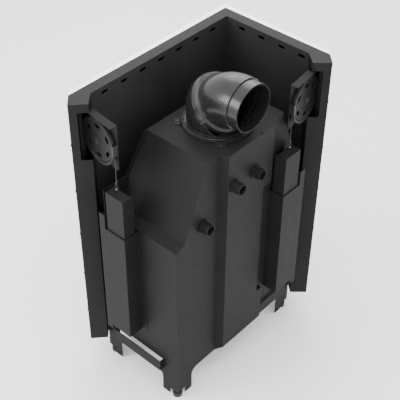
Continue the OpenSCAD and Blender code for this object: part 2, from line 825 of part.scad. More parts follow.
module bulkhead_side() {
    edge = upper_inset - jacket_t;
    path = [[edge, box_top + seat], [edge, side_slope_z], [roof_side, roof_z]];
    color(steel) place() {
        difference() {
            union() {
                difference() {
                    across(sheet(path, -jacket_t), upper_inset, body_d - bend_r);
                    along(concat([[0, box_top]], shifted(front_lean(), -jacket_t - seat), [[0, roof_z]]),
                        0, body_w);
                }
                translate([bend_x, body_d - bend_r, bend_z]) mitred_bend();
            }
            block([0, 0, roof_z - jacket_t], [body_w * 2, rear_mid * 2, roof_z * 3]);
        }
        at_side() wing_sheet();
    }
}

// Firebox
pit_x = body_w / 2;
pit_y = body_d / 2 + grate_ledge;
pit_l = grate_l - 2 * grate_ledge;
pit_d = grate_d - 2 * grate_ledge;

module firebox_shell() {
    s = -sill_out;
    t = plate_t;
    z1 = box_top;
    color(dark) place() difference() {
        union() {
            block([s, s, floor_z], [box_w, box_d, floor_z + t]);
            block([s, box_d - t, floor_z], [box_w, box_d, z1]);
            block([box_w - t, s, floor_z], [box_w, box_d, z1]);
            block([s, s, z1 - t], [box_w, box_d, z1]);
            for (z = [floor_z, z1 - sill_h]) {
                block([s, s, z], [box_w, s + t, z + sill_h]);
                block([s, s, z], [s + t, box_d, z + sill_h]);
            }
            translate([pit_x, pit_y, 0])
                block([-pit_l / 2 - t, -pit_d / 2 - t, floor_z - pit_depth],
                    [pit_l / 2 + t, pit_d / 2 + t, floor_z]);
            for (z = [air_z - air_plate_h / 2 - t - seat, air_z + air_plate_h / 2 + seat])
                block([air_x - air_travel, pit_y - pit_d / 2 - 3 * t, z],
                    [air_x + 2 * air_travel, pit_y - pit_d / 2 - t, z + t]);
        }
        translate([pit_x, pit_y, 0])
            block([-pit_l / 2, -pit_d / 2, floor_z - pit_depth + t], [pit_l / 2, pit_d / 2,
                floor_z + t + cut]);
        block([air_x - air_travel / 2, pit_y - pit_d / 2 - t - cut, air_z - air_plate_h / 4],
            [air_x + air_travel / 2, pit_y - pit_d / 2 + cut, air_z + air_plate_h / 4]);
        block([roof_side + clay_t, wing_inset + clay_t, z1 - t - cut],
            [slope_x0, box_d - 2 * clay_t / 3, z1 + cut]);
    }
}

slab_z = floor_z + plate_t;
slab_x1 = box_w - plate_t - seat;
slab_y1 = box_d - plate_t - seat;
slab_0 = -sill_out + plate_t + seat;

module floor_slab() {
    color(clay) place() difference() {
        block([slab_0, slab_0, slab_z], [slab_x1, slab_y1, slab_z + clay_t]);
        translate([pit_x, pit_y, 0])
            block([-grate_l / 2, -grate_d / 2, slab_z - cut], [grate_l / 2, grate_d / 2,
                slab_z + clay_t + cut]);
    }
}

module lining_back() {
    joints = 3;
    color(clay) place() difference() {
        block([clay_t, slab_y1 - clay_t, slab_z + clay_t], [slab_x1, slab_y1, clay_top]);
        for (i = [1 : joints - 1]) translate([clay_t + i * (slab_x1 - clay_t) / joints,
            slab_y1 - clay_t, 0])
            block([-seat * 3, -cut, slab_z + clay_t - cut], [seat * 3, seat * 10, clay_top + cut]);
    }
}

module lining_side() {
    color(clay) place() difference() {
        block([slab_x1 - clay_t, clay_t, slab_z + clay_t], [slab_x1, slab_y1 - clay_t, clay_top]);
        translate([slab_x1 - clay_t, (slab_y1 - clay_t) / 2, 0])
            block([-cut, -seat * 3, slab_z + clay_t - cut], [seat * 10, seat * 3, clay_top + cut]);
    }
}

module baffle_plate() {
    color(clay) place()
        block([wing_inset, wing_inset, clay_top], [slab_x1, slab_y1, clay_top + baffle_t]);
}

module log_guard() {
    z0 = slab_z + clay_t;
    g = guard_in;
    posts = [[g, g], [(slab_x1 - clay_t) / 2, g], [slab_x1 - clay_t * 2, g], [g, slab_y1 - clay_t * 2]];
    color(iron) place() union() {
        for (p = posts) translate([p[0], p[1], z0]) cylinder(h = guard_h, r = guard_r);
        translate([g, g, z0 + guard_h]) rotate([0, 90, 0])
            cylinder(h = slab_x1 - clay_t * 2 - g, r = guard_r);
        translate([g, g, z0 + guard_h]) rotate([-90, 0, 0])
            cylinder(h = slab_y1 - clay_t * 2 - g, r = guard_r);
        translate([g, g, z0 + guard_h]) sphere(r = guard_r);
    }
}

// Clearance around the grate and the ash pan, on each side
lift_gap = 3;
module grate() {
    l = grate_l - 2 * lift_gap;
    d = grate_d - 2 * lift_gap;
    pitch = (l - 2 * grate_ledge) / grate_slots;
    color(iron) place() translate([pit_x, pit_y, slab_z + seat]) difference() {
        block([-l / 2, -d / 2, 0], [l / 2, d / 2, grate_t]);
        for (i = [0 : grate_slots - 1]) translate([-l / 2 + grate_ledge + pitch * (i + 0.5), 0, 0])
            block([-grate_slot / 2, -d / 2 + 2 * grate_ledge, -cut], [grate_slot / 2,
                d / 2 - 2 * grate_ledge, grate_t + cut]);
    }
}

module ash_pan() {
    l = pit_l - 2 * lift_gap;
    d = pit_d - 2 * lift_gap;
    color(bare) place() translate([pit_x, pit_y, floor_z - pit_depth + plate_t + seat]) difference() {
        block([-l / 2, -d / 2, 0], [l / 2, d / 2, pan_h]);
        block([-l / 2 + pan_t, -d / 2 + pan_t, pan_t], [l / 2 - pan_t, d / 2 - pan_t, pan_h + cut]);
    }
}

// Air slide under the door: a plate over the ash pit's air opening, with a rod to the front
air_x = body_w / 2;
air_z = 246;
air_travel = 40;
air_rod_r = 4;
air_plate_h = 24;
air_knob_r = 9;
module air_slide() {
    y1 = pit_y - pit_d / 2 - plate_t - seat;
    y0 = -trim_out + cut;
    color(bare) place() union() {
        block([air_x - air_travel / 2 - cut, y1 - plate_t, air_z - air_plate_h / 2],
            [air_x + air_travel / 2 + cut, y1, air_z + air_plate_h / 2]);
        translate([air_x, y0, air_z]) rotate([-90, 0, 0]) cylinder(h = y1 - plate_t - y0, r = air_rod_r);
        translate([air_x, y0, air_z]) rotate([-90, 0, 0]) cylinder(h = cut * 2, r = air_knob_r);
    }
}

// Flue outlet
module at_flue() {
    place() translate([flue_x, flue_y, roof_z]) children();
}

module flue_flange() {
    color(steel) at_flue() difference() {
        translate([0, 0, seat]) cylinder(h = flange_t - seat, r = flange_r);
        translate([0, 0, -cut]) cylinder(h = flange_t + 2 * cut, r = spigot_r);
    }
}

// Four bent clamps on the roof that hold the turning flange down
clamp_foot = 22;
clamp_w = 34;
clamp_t = 4;
clamp_bolt_r = 4;
clamp_grip = 8;
module flue_clamps() {
    inner = flange_r + 3 * seat;
    top = flange_t + seat + clamp_t;
    color(steel) at_flue() for (a = [45 : 90 : 315]) rotate([0, 0, a]) {
        block([inner, -clamp_w / 2, 0], [inner + clamp_t, clamp_w / 2, top]);
        block([inner, -clamp_w / 2, 0], [inner + clamp_foot, clamp_w / 2, clamp_t]);
        block([inner - clamp_grip, -clamp_w / 2, top - clamp_t], [inner, clamp_w / 2, top]);
        translate([inner + clamp_foot / 2 + clamp_t / 2, 0, clamp_t])
            cylinder(h = clamp_bolt_r, r = clamp_bolt_r * 1.6, $fn = 6);
        translate([inner + clamp_foot / 2 + clamp_t / 2, 0, 0])
            cylinder(h = 3 * clamp_bolt_r, r = clamp_bolt_r);
    }
}

// Centre of the turning joint, on the lower half's slanted axis
joint_rise = 23;
joint_y = joint_rise;
joint_z = ball_lower_z + joint_rise;
// The upper half's bend, which turns the slanted axis into the spigot's
elbow_r = (spigot_z - joint_z) / (1 - cos(45));
elbow_y = joint_y + elbow_r * sin(45);
elbow_z = joint_z - elbow_r * cos(45);
band_r = 4;
neck_l = 26;
neck_tip = 10;
seam_l = 2;

module at_joint() {
    translate([0, joint_y, joint_z]) rotate([-45, 0, 0]) children();
}

// Everything beyond the slanted joint plane, offset along its axis
module beyond_joint(offset_along) {
    at_joint() translate([0, 0, offset_along]) cylinder(h = 3 * spigot_r, r = 3 * spigot_r);
}

module lower_form(shrink) {
    r = lower_r - shrink;
    difference() {
        union() {
            cylinder(h = ball_lower_z, r = r);
            translate([0, 0, ball_lower_z]) sphere(r = r);
        }
        beyond_joint(-neck_l);
    }
    at_joint() rotate_extrude($fn = 96) polygon([[0, -neck_l - 2 * band_r], [r - 2 * seat,
        -neck_l - 2 * band_r],
        [r - 2 * seat, -neck_l], [neck_r - shrink, -neck_tip], [joint_r - shrink, -band_r],
        [joint_r - shrink, min(shrink, band_r) * cut], [0, min(shrink, band_r) * cut]]);
}

module flue_lower_half() {
    color(steel) at_flue() difference() {
        union() {
            lower_form(0);
            translate([0, 0, flange_t]) cylinder(h = flange_t, r = lower_r + band_r / 2);
        }
        lower_form(flue_t);
        translate([0, 0, -2 * spigot_r]) cylinder(h = 2 * spigot_r + flange_t, r = 2 * spigot_r);
    }
}

// The upper half: a bend, the short pipe behind its seam and the spigot
module upper_form(shrink) {
    r = tube_r - shrink;
    inside = shrink > 0 ? 1 : 0;
    intersection() {
        translate([0, elbow_y, elbow_z]) rotate([0, 90, 0]) rotate_extrude($fn = 96)
            translate([elbow_r, 0]) circle(r = r, $fn = 96);
        beyond_joint(seat - cut * inside);
        block([-3 * spigot_r, -3 * spigot_r, -spigot_r], [3 * spigot_r, elbow_y, 3 * spigot_r]);
    }
    translate([0, elbow_y - seam_l, spigot_z]) rotate([-90, 0, 0]) {
        cylinder(h = collar_y - elbow_y + seam_l - flue_t * inside, r = r + seat);
        cylinder(h = rim_y - elbow_y + seam_l + cut * inside, r = spigot_r - shrink);
    }
}

module flue_upper_half() {
    color(steel) at_flue() difference() {
        union() {
            upper_form(0);
            at_joint() translate([0, 0, seat]) cylinder(h = 2 * band_r, r = joint_r);
        }
        upper_form(flue_t);
    }
}

// Toggle latches across the turning joint
latch_l = 34;
latch_w = 12;
latch_t = 5;
latch_turn = 12;
// Clearance that keeps a latch off the lower half's upright side
latch_off = 3;
half_turn = 180;
module flue_latches() {
    path = [[lower_r + latch_off, -latch_l], [lower_r + latch_off, -neck_l],
        [neck_r + latch_off, -neck_tip], [joint_r + latch_off, -2 * seat]];
    color(bare) at_flue() at_joint() for (a = [latch_turn, half_turn - latch_turn])
        rotate([0, 0, a]) across(sheet(path, -latch_t), -latch_w / 2, latch_w / 2);
}

// Counterweights and their channels
channel_hole_z = 684;
channel_hole_r = 4;
rivet_r = 4;
rivet_zs = [531, 695, 861];
module weight_channel(flange) {
    w = channel_w;
    t = channel_t;
    difference() {
        union() {
            rise([[0, channel_y1 + channel_flange], [t, channel_y1 + channel_flange],
                [t, channel_y1], [w, channel_y1], [w, channel_y0], [0, channel_y0],
                [0, channel_y0 + t], [w - t, channel_y0 + t], [w - t, channel_y1 - t],
                [0, channel_y1 - t]], channel_z0, channel_z1);
            block([0, channel_y1, edge_step_low + seat], [t, channel_y1 + flange, channel_z1]);
            for (z = rivet_zs) translate([t, channel_y1 + flange - 3 * rivet_r, z])
                rotate([0, 90, 0]) cylinder(h = t, r1 = rivet_r, r2 = rivet_r / 2);
        }
        translate([w - 5 * channel_hole_r, channel_y1 - t - cut, channel_hole_z])
            rotate([-90, 0, 0]) cylinder(h = t + 2 * cut, r = channel_hole_r);
        translate([w, channel_y1, channel_z1]) sphere(r = channel_t * 2);
        translate([w, channel_y0, channel_z1]) sphere(r = channel_t * 2);
    }
}

module weight_channel_front() {
    color(steel) place() at_front() weight_channel(channel_flange);
}

module weight_channel_side() {
    color(steel) place() at_side() weight_channel(channel_flange + riveted_extra);
}

module weight_box() {
    t = weight_t;
    difference() {
        union() {
            block([weight_w0, weight_y0, weight_z0], [weight_w1, weight_y1, weight_z0 + t]);
            block([weight_w1 - t, weight_y0, weight_z0], [weight_w1, weight_y1, weight_top]);
            for (u = [weight_y0, weight_y1 - t])
                block([weight_w0, u, weight_z0], [weight_w1, u + t, weight_top - seat]);
            block([weight_w1 - weight_lid, weight_y0, weight_top - t],
                [weight_w1, weight_y1, weight_top]);
        }
        translate([weight_w1, weight_y1, weight_top]) sphere(r = weight_t * 2);
        translate([eye_w + 4 * ball_r, eye_y + 3 * ball_r, weight_top - cut]) cylinder(h = 2 * cut,
            r = ball_r / 2);
        translate([eye_w, eye_y, weight_top - cut]) cylinder(h = 2 * cut, r = ball_r / 2);
    }
}

module weight_box_front() {
    color(steel) place() at_front() weight_box();
}

module weight_box_side() {
    color(steel) place() at_side() weight_box();
}

module weight_plates() {
    t = weight_t;
    room = weight_w - 2 * t;
    pitch = room / stack_count;
    for (i = [0 : stack_count - 1])
        block([weight_w0 + t + i * pitch, weight_y0 + t + seat, weight_z0 + t],
            [weight_w0 + t + (i + 1) * pitch - stack_gap, weight_y1 - t - seat, weight_z0 + t + stack_h]);
}

module weight_plates_front() {
    color(iron) place() at_front() weight_plates();
}

module weight_plates_side() {
    color(iron) place() at_side() weight_plates();
}

module cable_end() {
    difference() {
        union() {
            translate([eye_w, eye_y, eye_z]) sphere(r = ball_r);
            translate([eye_w, eye_y, weight_top]) cylinder(h = ball_r, r = ball_r * 0.8);
            translate([eye_w, eye_y, weight_top - 2 * weight_t]) cylinder(h = ball_r, r = ball_r / 2);
        }
        block([eye_w - 2 * ball_r, eye_y - 2 * ball_r, eye_flat], [eye_w + 2 * ball_r,
            eye_y + 2 * ball_r, eye_flat + ball_r]);
    }
}

module cable_end_front() {
    color(bare) place() at_front() cable_end();
}

module cable_end_side() {
    color(bare) place() at_side() cable_end();
}

// Pulleys
groove_r = cable_path_r - cable_r - seat;
groove_half = cable_r + seat;
rim_w = 2;
hub_r = 22;
web_t = 5;
hub_bolt_r = 2.5;
hub_bolts = 3;
module at_pulley() {
    // Z along the axle, away from the bracket plate; X down the cable's plane
    translate([pulley_w, pulley_y, pulley_z]) rotate([0, 0, -pulley_turn]) rotate([0, 90, 0]) children();
}

module pulley() {
    h = pulley_t / 2;
    web = web_t / 2;
    groove_h = h - rim_w;
    at_pulley() difference() {
        rotate_extrude($fn = 96) polygon([[axle_r + axle_gap, -h], [hub_r, -h], [hub_r, -web],
            [groove_r - 3 * rim_w, -web], [groove_r - 3 * rim_w, -groove_h - rim_w],
            [pulley_r, -groove_h - rim_w], [pulley_r, -groove_h], [groove_r, -groove_half],
            [groove_r, groove_half], [pulley_r, groove_h], [pulley_r, groove_h + rim_w],
            [groove_r - 3 * rim_w, groove_h + rim_w], [groove_r - 5 * rim_w, web + rim_w / 2],
            [hub_r + rim_w, web + rim_w / 2], [hub_r, h], [axle_r + axle_gap, h]]);
        for (i = [0 : hole_count - 1]) rotate([0, 0, i * 360 / hole_count]) translate([hole_ring, 0,
            -h - cut]) {
            for (s = [-1, 1]) translate([0, s * hole_long / 2, 0]) cylinder(h = 2 * (h + cut), r = hole_r);
            block([-hole_r, -hole_long / 2, 0], [hole_r, hole_long / 2, 2 * (h + cut)]);
        }
        for (i = [0 : hub_bolts - 1]) rotate([0, 0, (i + 0.5) * 360 / hub_bolts])
            translate([(hub_r + axle_r) / 2, 0, web]) cylinder(h = h, r = hub_bolt_r);
    }
}

module pulley_front() {
    color(iron) place() at_front() pulley();
}

module pulley_side() {
    color(iron) place() at_side() pulley();
}

plate_off = pulley_t / 2 + bracket_gap;
module pulley_axle() {
    at_pulley() union() {
        translate([0, 0, -plate_off - bracket_t])
            cylinder(h = plate_off + bracket_t + pulley_t / 2 + rim_w, r = axle_r);
        translate([0, 0, -plate_off]) cylinder(h = bracket_gap - 2 * seat, r = axle_r * 1.5);
        translate([0, 0, pulley_t / 2 + seat]) cylinder(h = axle_r / 2, r = axle_r * 1.4, $fn = 6);
    }
}

module pulley_axle_front() {
    color(bare) place() at_front() pulley_axle();
}

module pulley_axle_side() {
    color(bare) place() at_side() pulley_axle();
}

// A bracket: a plate beside the pulley, a flange over it and a foot on the post
module pulley_bracket(lap) {
    u0 = -pulley_y + bracket_y0(lap);
    u1 = bracket_y1 - pulley_y;
    foot = unit([oblique_run, oblique_rise]);
    start = bracket_start(lap);
    difference() {
        union() {
            translate([pulley_w, pulley_y, 0]) rotate([0, 0, -pulley_turn]) {
                along(concat([[u0, bracket_z0 + bracket_fall]],
                    arc([u1 - bracket_corner_r, bracket_z0 + bracket_corner_r],
                        bracket_corner_r, 270, 360),
                    [[u1, cutout_z1], [u0 + foot_clear, cutout_z1], [u0 + foot_clear, cutout_z0],
                        [u0, cutout_z0 - foot_clear]]), -plate_off - bracket_t, -plate_off);
                block([-plate_off, u0 + foot_clear * 2, cutout_z1 - bracket_t],
                    [bracket_flange - plate_off, u1, cutout_z1]);
            }
            rise([start, start + foot * foot_l, start + foot * foot_l + left_of(foot) * bracket_t,
                start + left_of(foot) * bracket_t * 1.5], bracket_z0, cutout_z0 - foot_clear);
        }
        at_pulley() translate([0, 0, -plate_off - bracket_t - cut])
            cylinder(h = bracket_t + 2 * cut, r = axle_r);
    }
}
foot_clear = 8;
foot_l = 19;
bracket_fall = 14;
bracket_corner_r = 15;
// Distance from the wing's sheet at which the bracket plate meets the post's oblique face
function bracket_y0(lap) = let (k = oblique_run / oblique_rise, q = tan(pulley_turn),
    plate_w = pulley_w - (plate_off + bracket_t) / cos(pulley_turn)) (plate_w - q * pulley_y + lap)
        / (k - q) + bracket_t / 2;
function bracket_start(lap) = let (u = bracket_y0(lap), k = oblique_run / oblique_rise)
    [-lap + k * u, u] + left_of(unit([oblique_run, oblique_rise])) * seat;

module pulley_bracket_front() {
    color(steel) place() at_front() pulley_bracket(post_lap_front);
}

module pulley_bracket_side() {
    color(steel) place() at_side() pulley_bracket(post_lap_side);
}

keeper_h = 50;
keeper_drop = 17;
keeper_gap = 2;
keeper_lip = 9;
module cable_keeper() {
    r = pulley_r + keeper_gap;
    t = pulley_t / 2 + keeper_gap;
    at_pulley() {
        block([keeper_drop - keeper_h, r, -plate_off], [keeper_drop, r + bracket_t, t]);
        block([keeper_drop - keeper_h, r - keeper_lip, t],
            [keeper_drop, r + bracket_t, t + bracket_t]);
    }
}

module cable_keepers() {
    color(bare) place() {
        at_front() cable_keeper();
        at_side() cable_keeper();
    }
}

// Cables: one run to the door, a wrap over the pulley, one run to the weight
module cable_wrap() {
    at_pulley() intersection() {
        rotate_extrude($fn = 96) translate([cable_path_r, 0]) circle(r = cable_r, $fn = 24);
        block([-pulley_r - cut, -pulley_r - cut, -cut], [0, pulley_r + cut, cut]);
    }
}

module door_run() {
    translate([haul_w, haul_y, carriage_z1]) cylinder(h = pulley_z - carriage_z1, r = cable_r);
}

module weight_run() {
    translate([eye_w, eye_y, eye_flat]) cylinder(h = pulley_z - eye_flat, r = cable_r);
}

module cable_door_run_front() {
    color(bare) place() at_front() door_run();
}

module cable_wrap_front() {
    color(bare) place() at_front() cable_wrap();
}

module cable_weight_run_front() {
    color(bare) place() at_front() weight_run();
}

module cable_door_run_side() {
    color(bare) place() at_side() door_run();
}

module cable_wrap_side() {
    color(bare) place() at_side() cable_wrap();
}

module cable_weight_run_side() {
    color(bare) place() at_side() weight_run();
}

// Door
door_x1 = body_w + door_end_w;
door_y1 = body_d + door_end_w;

// A strip along both wings of the door, between two distances from the inner sheets
module door_ring(d0, d1, z0, z1, back = 0) {
    rise([[-d0, -d0], [door_x1 - back, -d0], [door_x1 - back, -d1], [-d1, -d1],
        [-d1, door_y1 - back], [-d0, door_y1 - back]], z0, z1);
}

glass_mid = door_gap + door_depth / 2;
hollow_h = rail_h - glass_hold - 2 * rail_t - seat;
module door_frame() {
    a = door_gap;
    b = door_gap + door_depth;
    g0 = glass_mid - glass_t / 2 - seat;
    g1 = glass_mid + glass_t / 2 + seat;
    color(steel) place() difference() {
        union() {
            door_ring(a, b, door_z0, door_z0 + rail_h);
            door_ring(a, b, door_z1 - rail_h, door_z1);
            block([door_x1 - stile_w, -b, door_z0], [door_x1, -a, door_z1]);
            block([-b, door_y1 - stile_w, door_z0], [-a, door_y1, door_z1]);
        }
        door_ring(g0, g1, door_z0 + rail_h - glass_hold - seat, door_z1 - rail_h + glass_hold + seat,
            stile_w - glass_hold - seat);
        rope_groove();
        for (z = [door_z0 + rail_t, door_z1 - rail_t - hollow_h])
            door_ring(a + 2.5 * rail_t, b - rail_t, z, z + hollow_h, rail_t);
        for (s = [0, 1]) mirror([s, -s, 0]) translate([s == 0 ? door_x1 : door_y1, 0, 0])
            block([rail_t - hollow_h, -b + rail_t, door_z0 + rail_t], [-rail_t, -a - 2.5 * rail_t,
                door_z1 - rail_t]);
    }
}

module glass_front() {
    d = glass_mid;
    color(pane) place() block([-d + glass_t / 2 + seat, -d - glass_t / 2, door_z0 + rail_h - glass_hold],
        [door_x1 - stile_w + glass_hold, -d + glass_t / 2, door_z1 - rail_h + glass_hold]);
}

module glass_side() {
    d = glass_mid;
    color(pane) place() block([-d - glass_t / 2, -d + glass_t / 2 + seat, door_z0 + rail_h - glass_hold],
        [-d + glass_t / 2, door_y1 - stile_w + glass_hold, door_z1 - rail_h + glass_hold]);
}

module glass_corner_seal() {
    d = glass_mid;
    h = glass_t / 2;
    color(dark) place() block([-d - h, -d - h, door_z0 + rail_h - glass_hold],
        [-d + h, -d + h, door_z1 - rail_h + glass_hold]);
}

// The seal rope lies on the firebox's sill, lintel and two side walls, in a groove of the door
rope_at = sill_out + seat + rope_r;
rope_z0 = door_z0 + rail_h / 2;
rope_z1 = door_z1 - rail_h / 2;
rope_x1 = box_w - plate_t / 2;
rope_y1 = box_d - plate_t / 2;

module rope_line(r) {
    for (z = [rope_z0, rope_z1]) {
        translate([-rope_at, -rope_at, z]) {
            sphere(r = r, $fn = 24);
            rotate([0, 90, 0]) cylinder(h = rope_x1 + rope_at, r = r, $fn = 24);
            rotate([-90, 0, 0]) cylinder(h = rope_y1 + rope_at, r = r, $fn = 24);
        }
        translate([rope_x1, -rope_at, z]) sphere(r = r, $fn = 24);
        translate([-rope_at, rope_y1, z]) sphere(r = r, $fn = 24);
    }
    translate([rope_x1, -rope_at, rope_z0]) cylinder(h = rope_z1 - rope_z0, r = r, $fn = 24);
    translate([-rope_at, rope_y1, rope_z0]) cylinder(h = rope_z1 - rope_z0, r = r, $fn = 24);
}

module door_rope_seal() {
    color(dark) place() rope_line(rope_r);
}

// The square groove that the rope lies in
module rope_groove() {
    g = rope_r + seat;
    deep = rope_at + g;
    for (z = [rope_z0, rope_z1]) door_ring(door_gap - cut, deep, z - g, z + g,
        door_x1 - rope_x1 - g);
    for (z = [rope_z0]) {
        block([rope_x1 - g, -deep, z - g], [rope_x1 + g, -door_gap + cut, rope_z1 + g]);
        block([-deep, rope_y1 - g, z - g], [-door_gap + cut, rope_y1 + g, rope_z1 + g]);
    }
}

module door_handle() {
    z = door_z0 + 2 * handle_r + seat;
    y = door_out - handle_out;
    x0 = (door_x1 - handle_l) / 2;
    color(bare) place() union() {
        translate([x0, y, z]) rotate([0, 90, 0]) cylinder(h = handle_l, r = handle_r);
        for (x = [x0 + handle_l / 8, x0 + handle_l * 7 / 8]) translate([x, y, z])
            rotate([-90, 0, 0]) cylinder(h = handle_out, r = handle_r * 0.6);
    }
}

// A carriage at each end of the door: it carries the cable and runs in the guide rail
guide_w0 = 16;
guide_w1 = 30;
guide_lug = 12;
module carriage() {
    t = rail_t * 1.6;
    block([-guide_t, -glass_mid - t / 2, door_z0], [guide_w1 - guide_t - guide_gap, -glass_mid + t / 2,
        carriage_z1]);
    block([haul_w - 2.5 * cable_r, -glass_mid - t, carriage_z1 - 10 * cable_r],
        [haul_w + 2.5 * cable_r, haul_y + 2.5 * cable_r, carriage_z1]);
}

module door_carriages() {
    color(bare) place() {
        at_front() carriage();
        at_side() carriage();
    }
}

// A channel for the carriage, with stops below and above it and lugs to the post's front return
module guide_rail() {
    t = rail_t * 0.8 + guide_gap;
    top = casing_top - 3 * casing_sheet;
    difference() {
        block([guide_w0, -glass_mid - t - guide_t, floor_z], [guide_w1, -glass_mid + t + guide_t, top]);
        block([guide_w0 - cut, -glass_mid - t, floor_z - cut], [guide_w1 - guide_t, -glass_mid + t,
            top + cut]);
    }
    block([guide_w0, -glass_mid - t, floor_z], [guide_w1 - guide_t, -glass_mid + t, door_z0 - seat]);
    block([guide_w0, -glass_mid - t, carriage_z1 + door_travel + seat],
        [guide_w1 - guide_t, -glass_mid + t, carriage_z1 + door_travel + guide_lug]);
    for (z = [floor_z, cutout_z0 - 2 * guide_lug, top - guide_lug])
        block([guide_w1 - guide_lug / 2, -casing_depth + casing_sheet, z],
            [guide_w1, -glass_mid - t - guide_t, z + guide_lug]);
}

module guide_rails() {
    color(steel) place() {
        at_front() guide_rail();
        at_side() guide_rail();
    }
}

casing_inner_panel();
casing_outer_panel();
casing_top_cap();
trim_frame();
end_post_front();
end_post_side();
plinth_panel();
casing_screws();
base_frame();
levelling_feet();
firebox_shell();
side_jacket();
rear_jacket();
roof_plate();
bulkhead_front();
bulkhead_side();
pipe_sleeves();
lining_back();
lining_side();
floor_slab();
baffle_plate();
log_guard();
grate();
ash_pan();
air_slide();
flue_flange();
flue_clamps();
flue_lower_half();
flue_upper_half();
flue_latches();
weight_channel_front();
weight_channel_side();
weight_box_front();
weight_box_side();
weight_plates_front();
weight_plates_side();
cable_end_front();
cable_end_side();
pulley_front();
pulley_side();
pulley_axle_front();
pulley_axle_side();
pulley_bracket_front();
pulley_bracket_side();
cable_keepers();
cable_door_run_front();
cable_wrap_front();
cable_weight_run_front();
cable_door_run_side();
cable_wrap_side();
cable_weight_run_side();
door_frame();
door_carriages();
glass_front();
glass_side();
glass_corner_seal();
door_rope_seal();
door_handle();
guide_rails();
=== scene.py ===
"""A corner fireplace insert with a rising glass door, seen from behind and above."""

import json
import math

import bmesh
import bpy
from mathutils import Matrix, Vector


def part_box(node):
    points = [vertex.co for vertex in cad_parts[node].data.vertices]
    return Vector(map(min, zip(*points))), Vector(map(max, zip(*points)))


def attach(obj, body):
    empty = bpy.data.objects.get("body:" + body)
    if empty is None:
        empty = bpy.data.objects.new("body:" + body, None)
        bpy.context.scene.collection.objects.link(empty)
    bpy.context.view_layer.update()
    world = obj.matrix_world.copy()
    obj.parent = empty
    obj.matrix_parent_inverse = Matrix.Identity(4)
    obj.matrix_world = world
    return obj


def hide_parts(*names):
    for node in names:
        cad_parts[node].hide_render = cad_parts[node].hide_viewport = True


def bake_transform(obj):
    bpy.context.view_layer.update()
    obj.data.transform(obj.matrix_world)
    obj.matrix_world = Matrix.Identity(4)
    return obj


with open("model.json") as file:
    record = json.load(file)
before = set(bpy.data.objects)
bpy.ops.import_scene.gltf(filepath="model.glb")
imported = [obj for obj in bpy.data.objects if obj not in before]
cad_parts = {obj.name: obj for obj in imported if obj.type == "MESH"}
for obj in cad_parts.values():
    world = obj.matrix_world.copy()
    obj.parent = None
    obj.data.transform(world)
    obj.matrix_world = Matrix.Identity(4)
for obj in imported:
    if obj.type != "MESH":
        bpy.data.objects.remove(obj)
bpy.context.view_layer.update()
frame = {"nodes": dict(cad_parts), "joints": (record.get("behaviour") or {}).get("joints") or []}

ROOT = "fireplace"
DOOR = "door"
UP = Vector((0, 0, 1))


# Surfaces: pattern scales per metre, depths and bevels in metres

BEVEL = 0.0016
CLAY_BEVEL = 0.003
CABLE_BEVEL = 0.0003
PULLEY_BEVEL = 0.0012
EDGE_SHARP = 0.04
EDGE_FULL = 0.35
PAINT_CLOUD, PAINT_SMUDGE, PAINT_SPECKS, PAINT_PEEL = 4.0, 38.0, 420.0, 650.0
METAL_STAINS = 9.0
IRON_SKIN, IRON_ASH = 240.0, 14.0
CLAY_GRAINS, CLAY_FLECKS, CLAY_SOOT = 320.0, 900.0, 5.0
ROPE_FIBRES, ROPE_WEAR = 1500.0, 30.0
GLASS_FILM, GLASS_WAVES = 7.0, 3.0
FLECK = (0.33, 0.24, 0.13)
CLEAR = (0.93, 0.95, 0.95)
SMOKED = (0.82, 0.84, 0.82)


